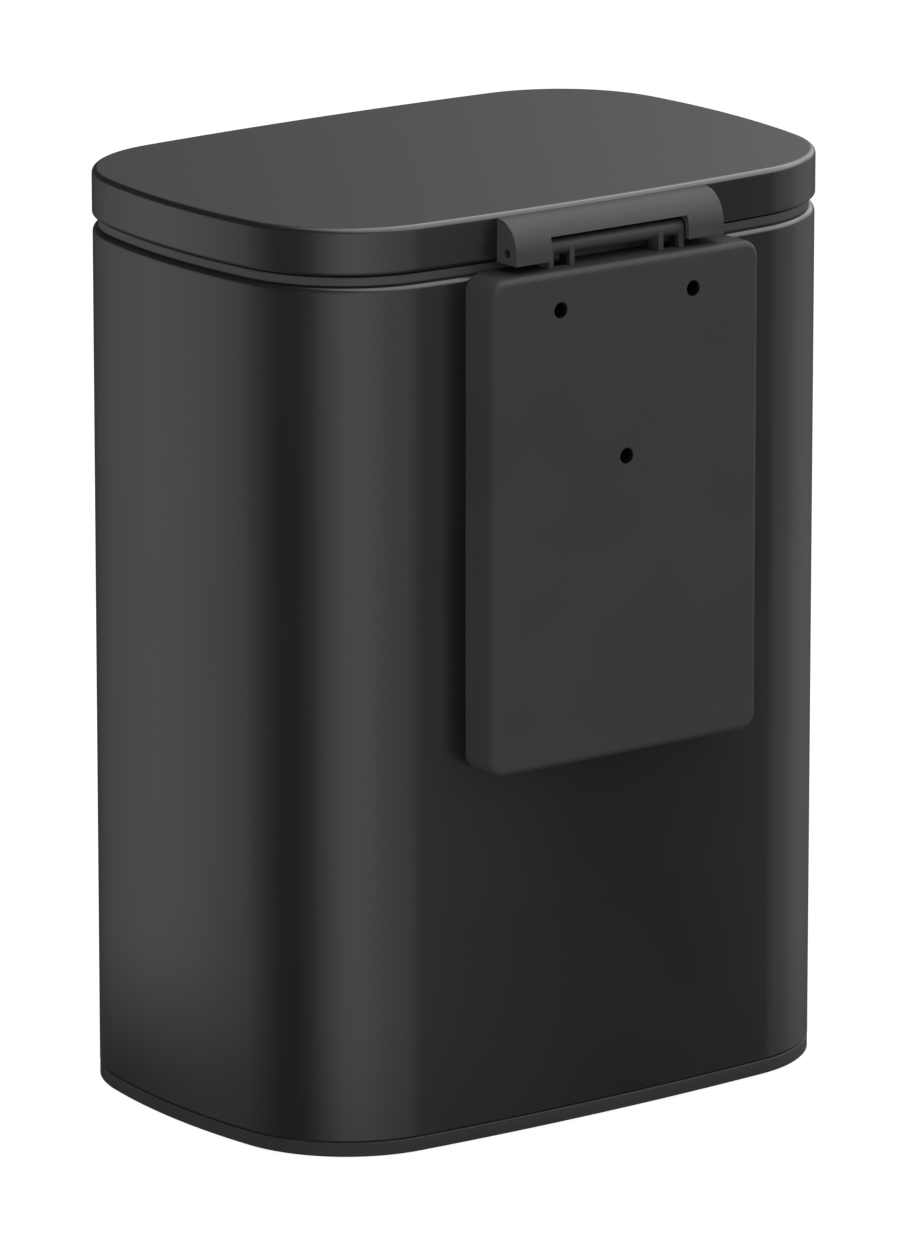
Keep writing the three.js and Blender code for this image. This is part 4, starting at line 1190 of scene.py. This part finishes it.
def make_world():
    """A studio given as brightness by direction: the room's walls and a panel overhead."""
    world = bpy.data.worlds.new("studio")
    bpy.context.scene.world = world
    world.use_nodes = True
    tree = world.node_tree
    background = tree.nodes["Background"]
    coordinates = tree.nodes.new("ShaderNodeTexCoord")
    split = tree.nodes.new("ShaderNodeSeparateXYZ")
    tree.links.new(coordinates.outputs["Generated"], split.inputs["Vector"])
    turn = tree.nodes.new("ShaderNodeMath")
    turn.operation = "ARCTAN2"
    tree.links.new(split.outputs["Y"], turn.inputs[0])
    tree.links.new(split.outputs["X"], turn.inputs[1])
    compass = tree.nodes.new("ShaderNodeMapRange")
    compass.inputs["From Min"].default_value = -math.pi
    compass.inputs["From Max"].default_value = math.pi
    tree.links.new(turn.outputs[0], compass.inputs["Value"])
    height = soft_step(tree, split.outputs["Z"], *BLEND_Z)
    blend = tree.nodes.new("ShaderNodeMixRGB")
    tree.links.new(height.outputs["Result"], blend.inputs["Fac"])
    for name, levels in (("Color1", LOW_LEVELS), ("Color2", HIGH_LEVELS)):
        tree.links.new(level_ramp(tree, compass.outputs["Result"], levels), blend.inputs[name])
    shaded = soft_step(tree, split.outputs["Z"], *FADE_Z)
    shaded.inputs["To Min"].default_value = FADE_SHARE
    walls = tree.nodes.new("ShaderNodeVectorMath")
    walls.operation = "SCALE"
    tree.links.new(blend.outputs["Color"], walls.inputs["Vector"])
    tree.links.new(shaded.outputs["Result"], walls.inputs["Scale"])
    total = tree.nodes.new("ShaderNodeVectorMath")
    total.operation = "ADD"
    tree.links.new(walls.outputs["Vector"], total.inputs[0])
    tree.links.new(make_cap(tree, coordinates.outputs["Generated"]), total.inputs[1])
    tree.links.new(total.outputs["Vector"], background.inputs["Color"])
    background.inputs["Strength"].default_value = BRIGHTEST


def make_cap(tree, direction):
    """The overhead panel's brightness by direction, with a soft edge."""
    compass, height = math.radians(CAP_COMPASS), math.radians(CAP_HEIGHT)
    toward = tree.nodes.new("ShaderNodeVectorMath")
    toward.operation = "DOT_PRODUCT"
    tree.links.new(direction, toward.inputs[0])
    level = math.cos(height)
    toward.inputs[1].default_value = (
        math.cos(compass) * level, math.sin(compass) * level, math.sin(height))
    limits = [math.cos(math.radians(angle)) for angle in (CAP_END, CAP_FULL)]
    edge = soft_step(tree, toward.outputs["Value"], *limits)
    edge.inputs["To Max"].default_value = CAP_LEVEL / BRIGHTEST
    return edge.outputs["Result"]


FILL_TARGET = Vector((0, 0, 0.3))


def make_fill(name, place, size, energy):
    """A soft square light that fills in the plastic's dark sides but isn't reflected."""
    data = bpy.data.lights.new(name, "AREA")
    data.size = size
    data.energy = energy
    light = bpy.data.objects.new(name, data)
    light.location = place
    light.rotation_euler = (FILL_TARGET - Vector(place)).to_track_quat("-Z", "Y").to_euler()
    light.visible_glossy = False
    light.visible_camera = False
    bpy.context.scene.collection.objects.link(light)


# The camera as fitted to the photo. Its azimuth runs counter-clockwise from the front.
SENSOR_WIDTH = 36
LENS = 299.6
CLIP_END = 2000
CAMERA_PLACE = (3.2203, 4.31105, 1.6457)
AZIMUTH = math.radians(143.25)
ELEVATION = math.radians(14.597)


def make_camera():
    """A long lens behind the bin, on its +X side, a little above it."""
    data = bpy.data.cameras.new("camera")
    data.sensor_width = SENSOR_WIDTH
    data.lens = LENS
    data.clip_end = CLIP_END
    camera = bpy.data.objects.new("camera", data)
    level = math.cos(ELEVATION)
    back = Vector((math.sin(AZIMUTH) * level, -math.cos(AZIMUTH) * level, math.sin(ELEVATION)))
    right = Vector((math.cos(AZIMUTH), math.sin(AZIMUTH), 0))
    up = back.cross(right)
    rows = [(right[i], up[i], back[i], CAMERA_PLACE[i]) for i in range(3)]
    camera.matrix_world = Matrix((*rows, (0, 0, 0, 1)))
    bpy.context.scene.collection.objects.link(camera)
    bpy.context.scene.camera = camera


make_floor()
make_floor_shade()
make_world()
make_fill("side_fill", (2.0, 0.45, 0.45), 0.8, 52)
make_fill("front_fill", (0.5, -2.2, 0.9), 1.2, 75)
make_camera()
bpy.context.scene.view_settings.view_transform = "Standard"
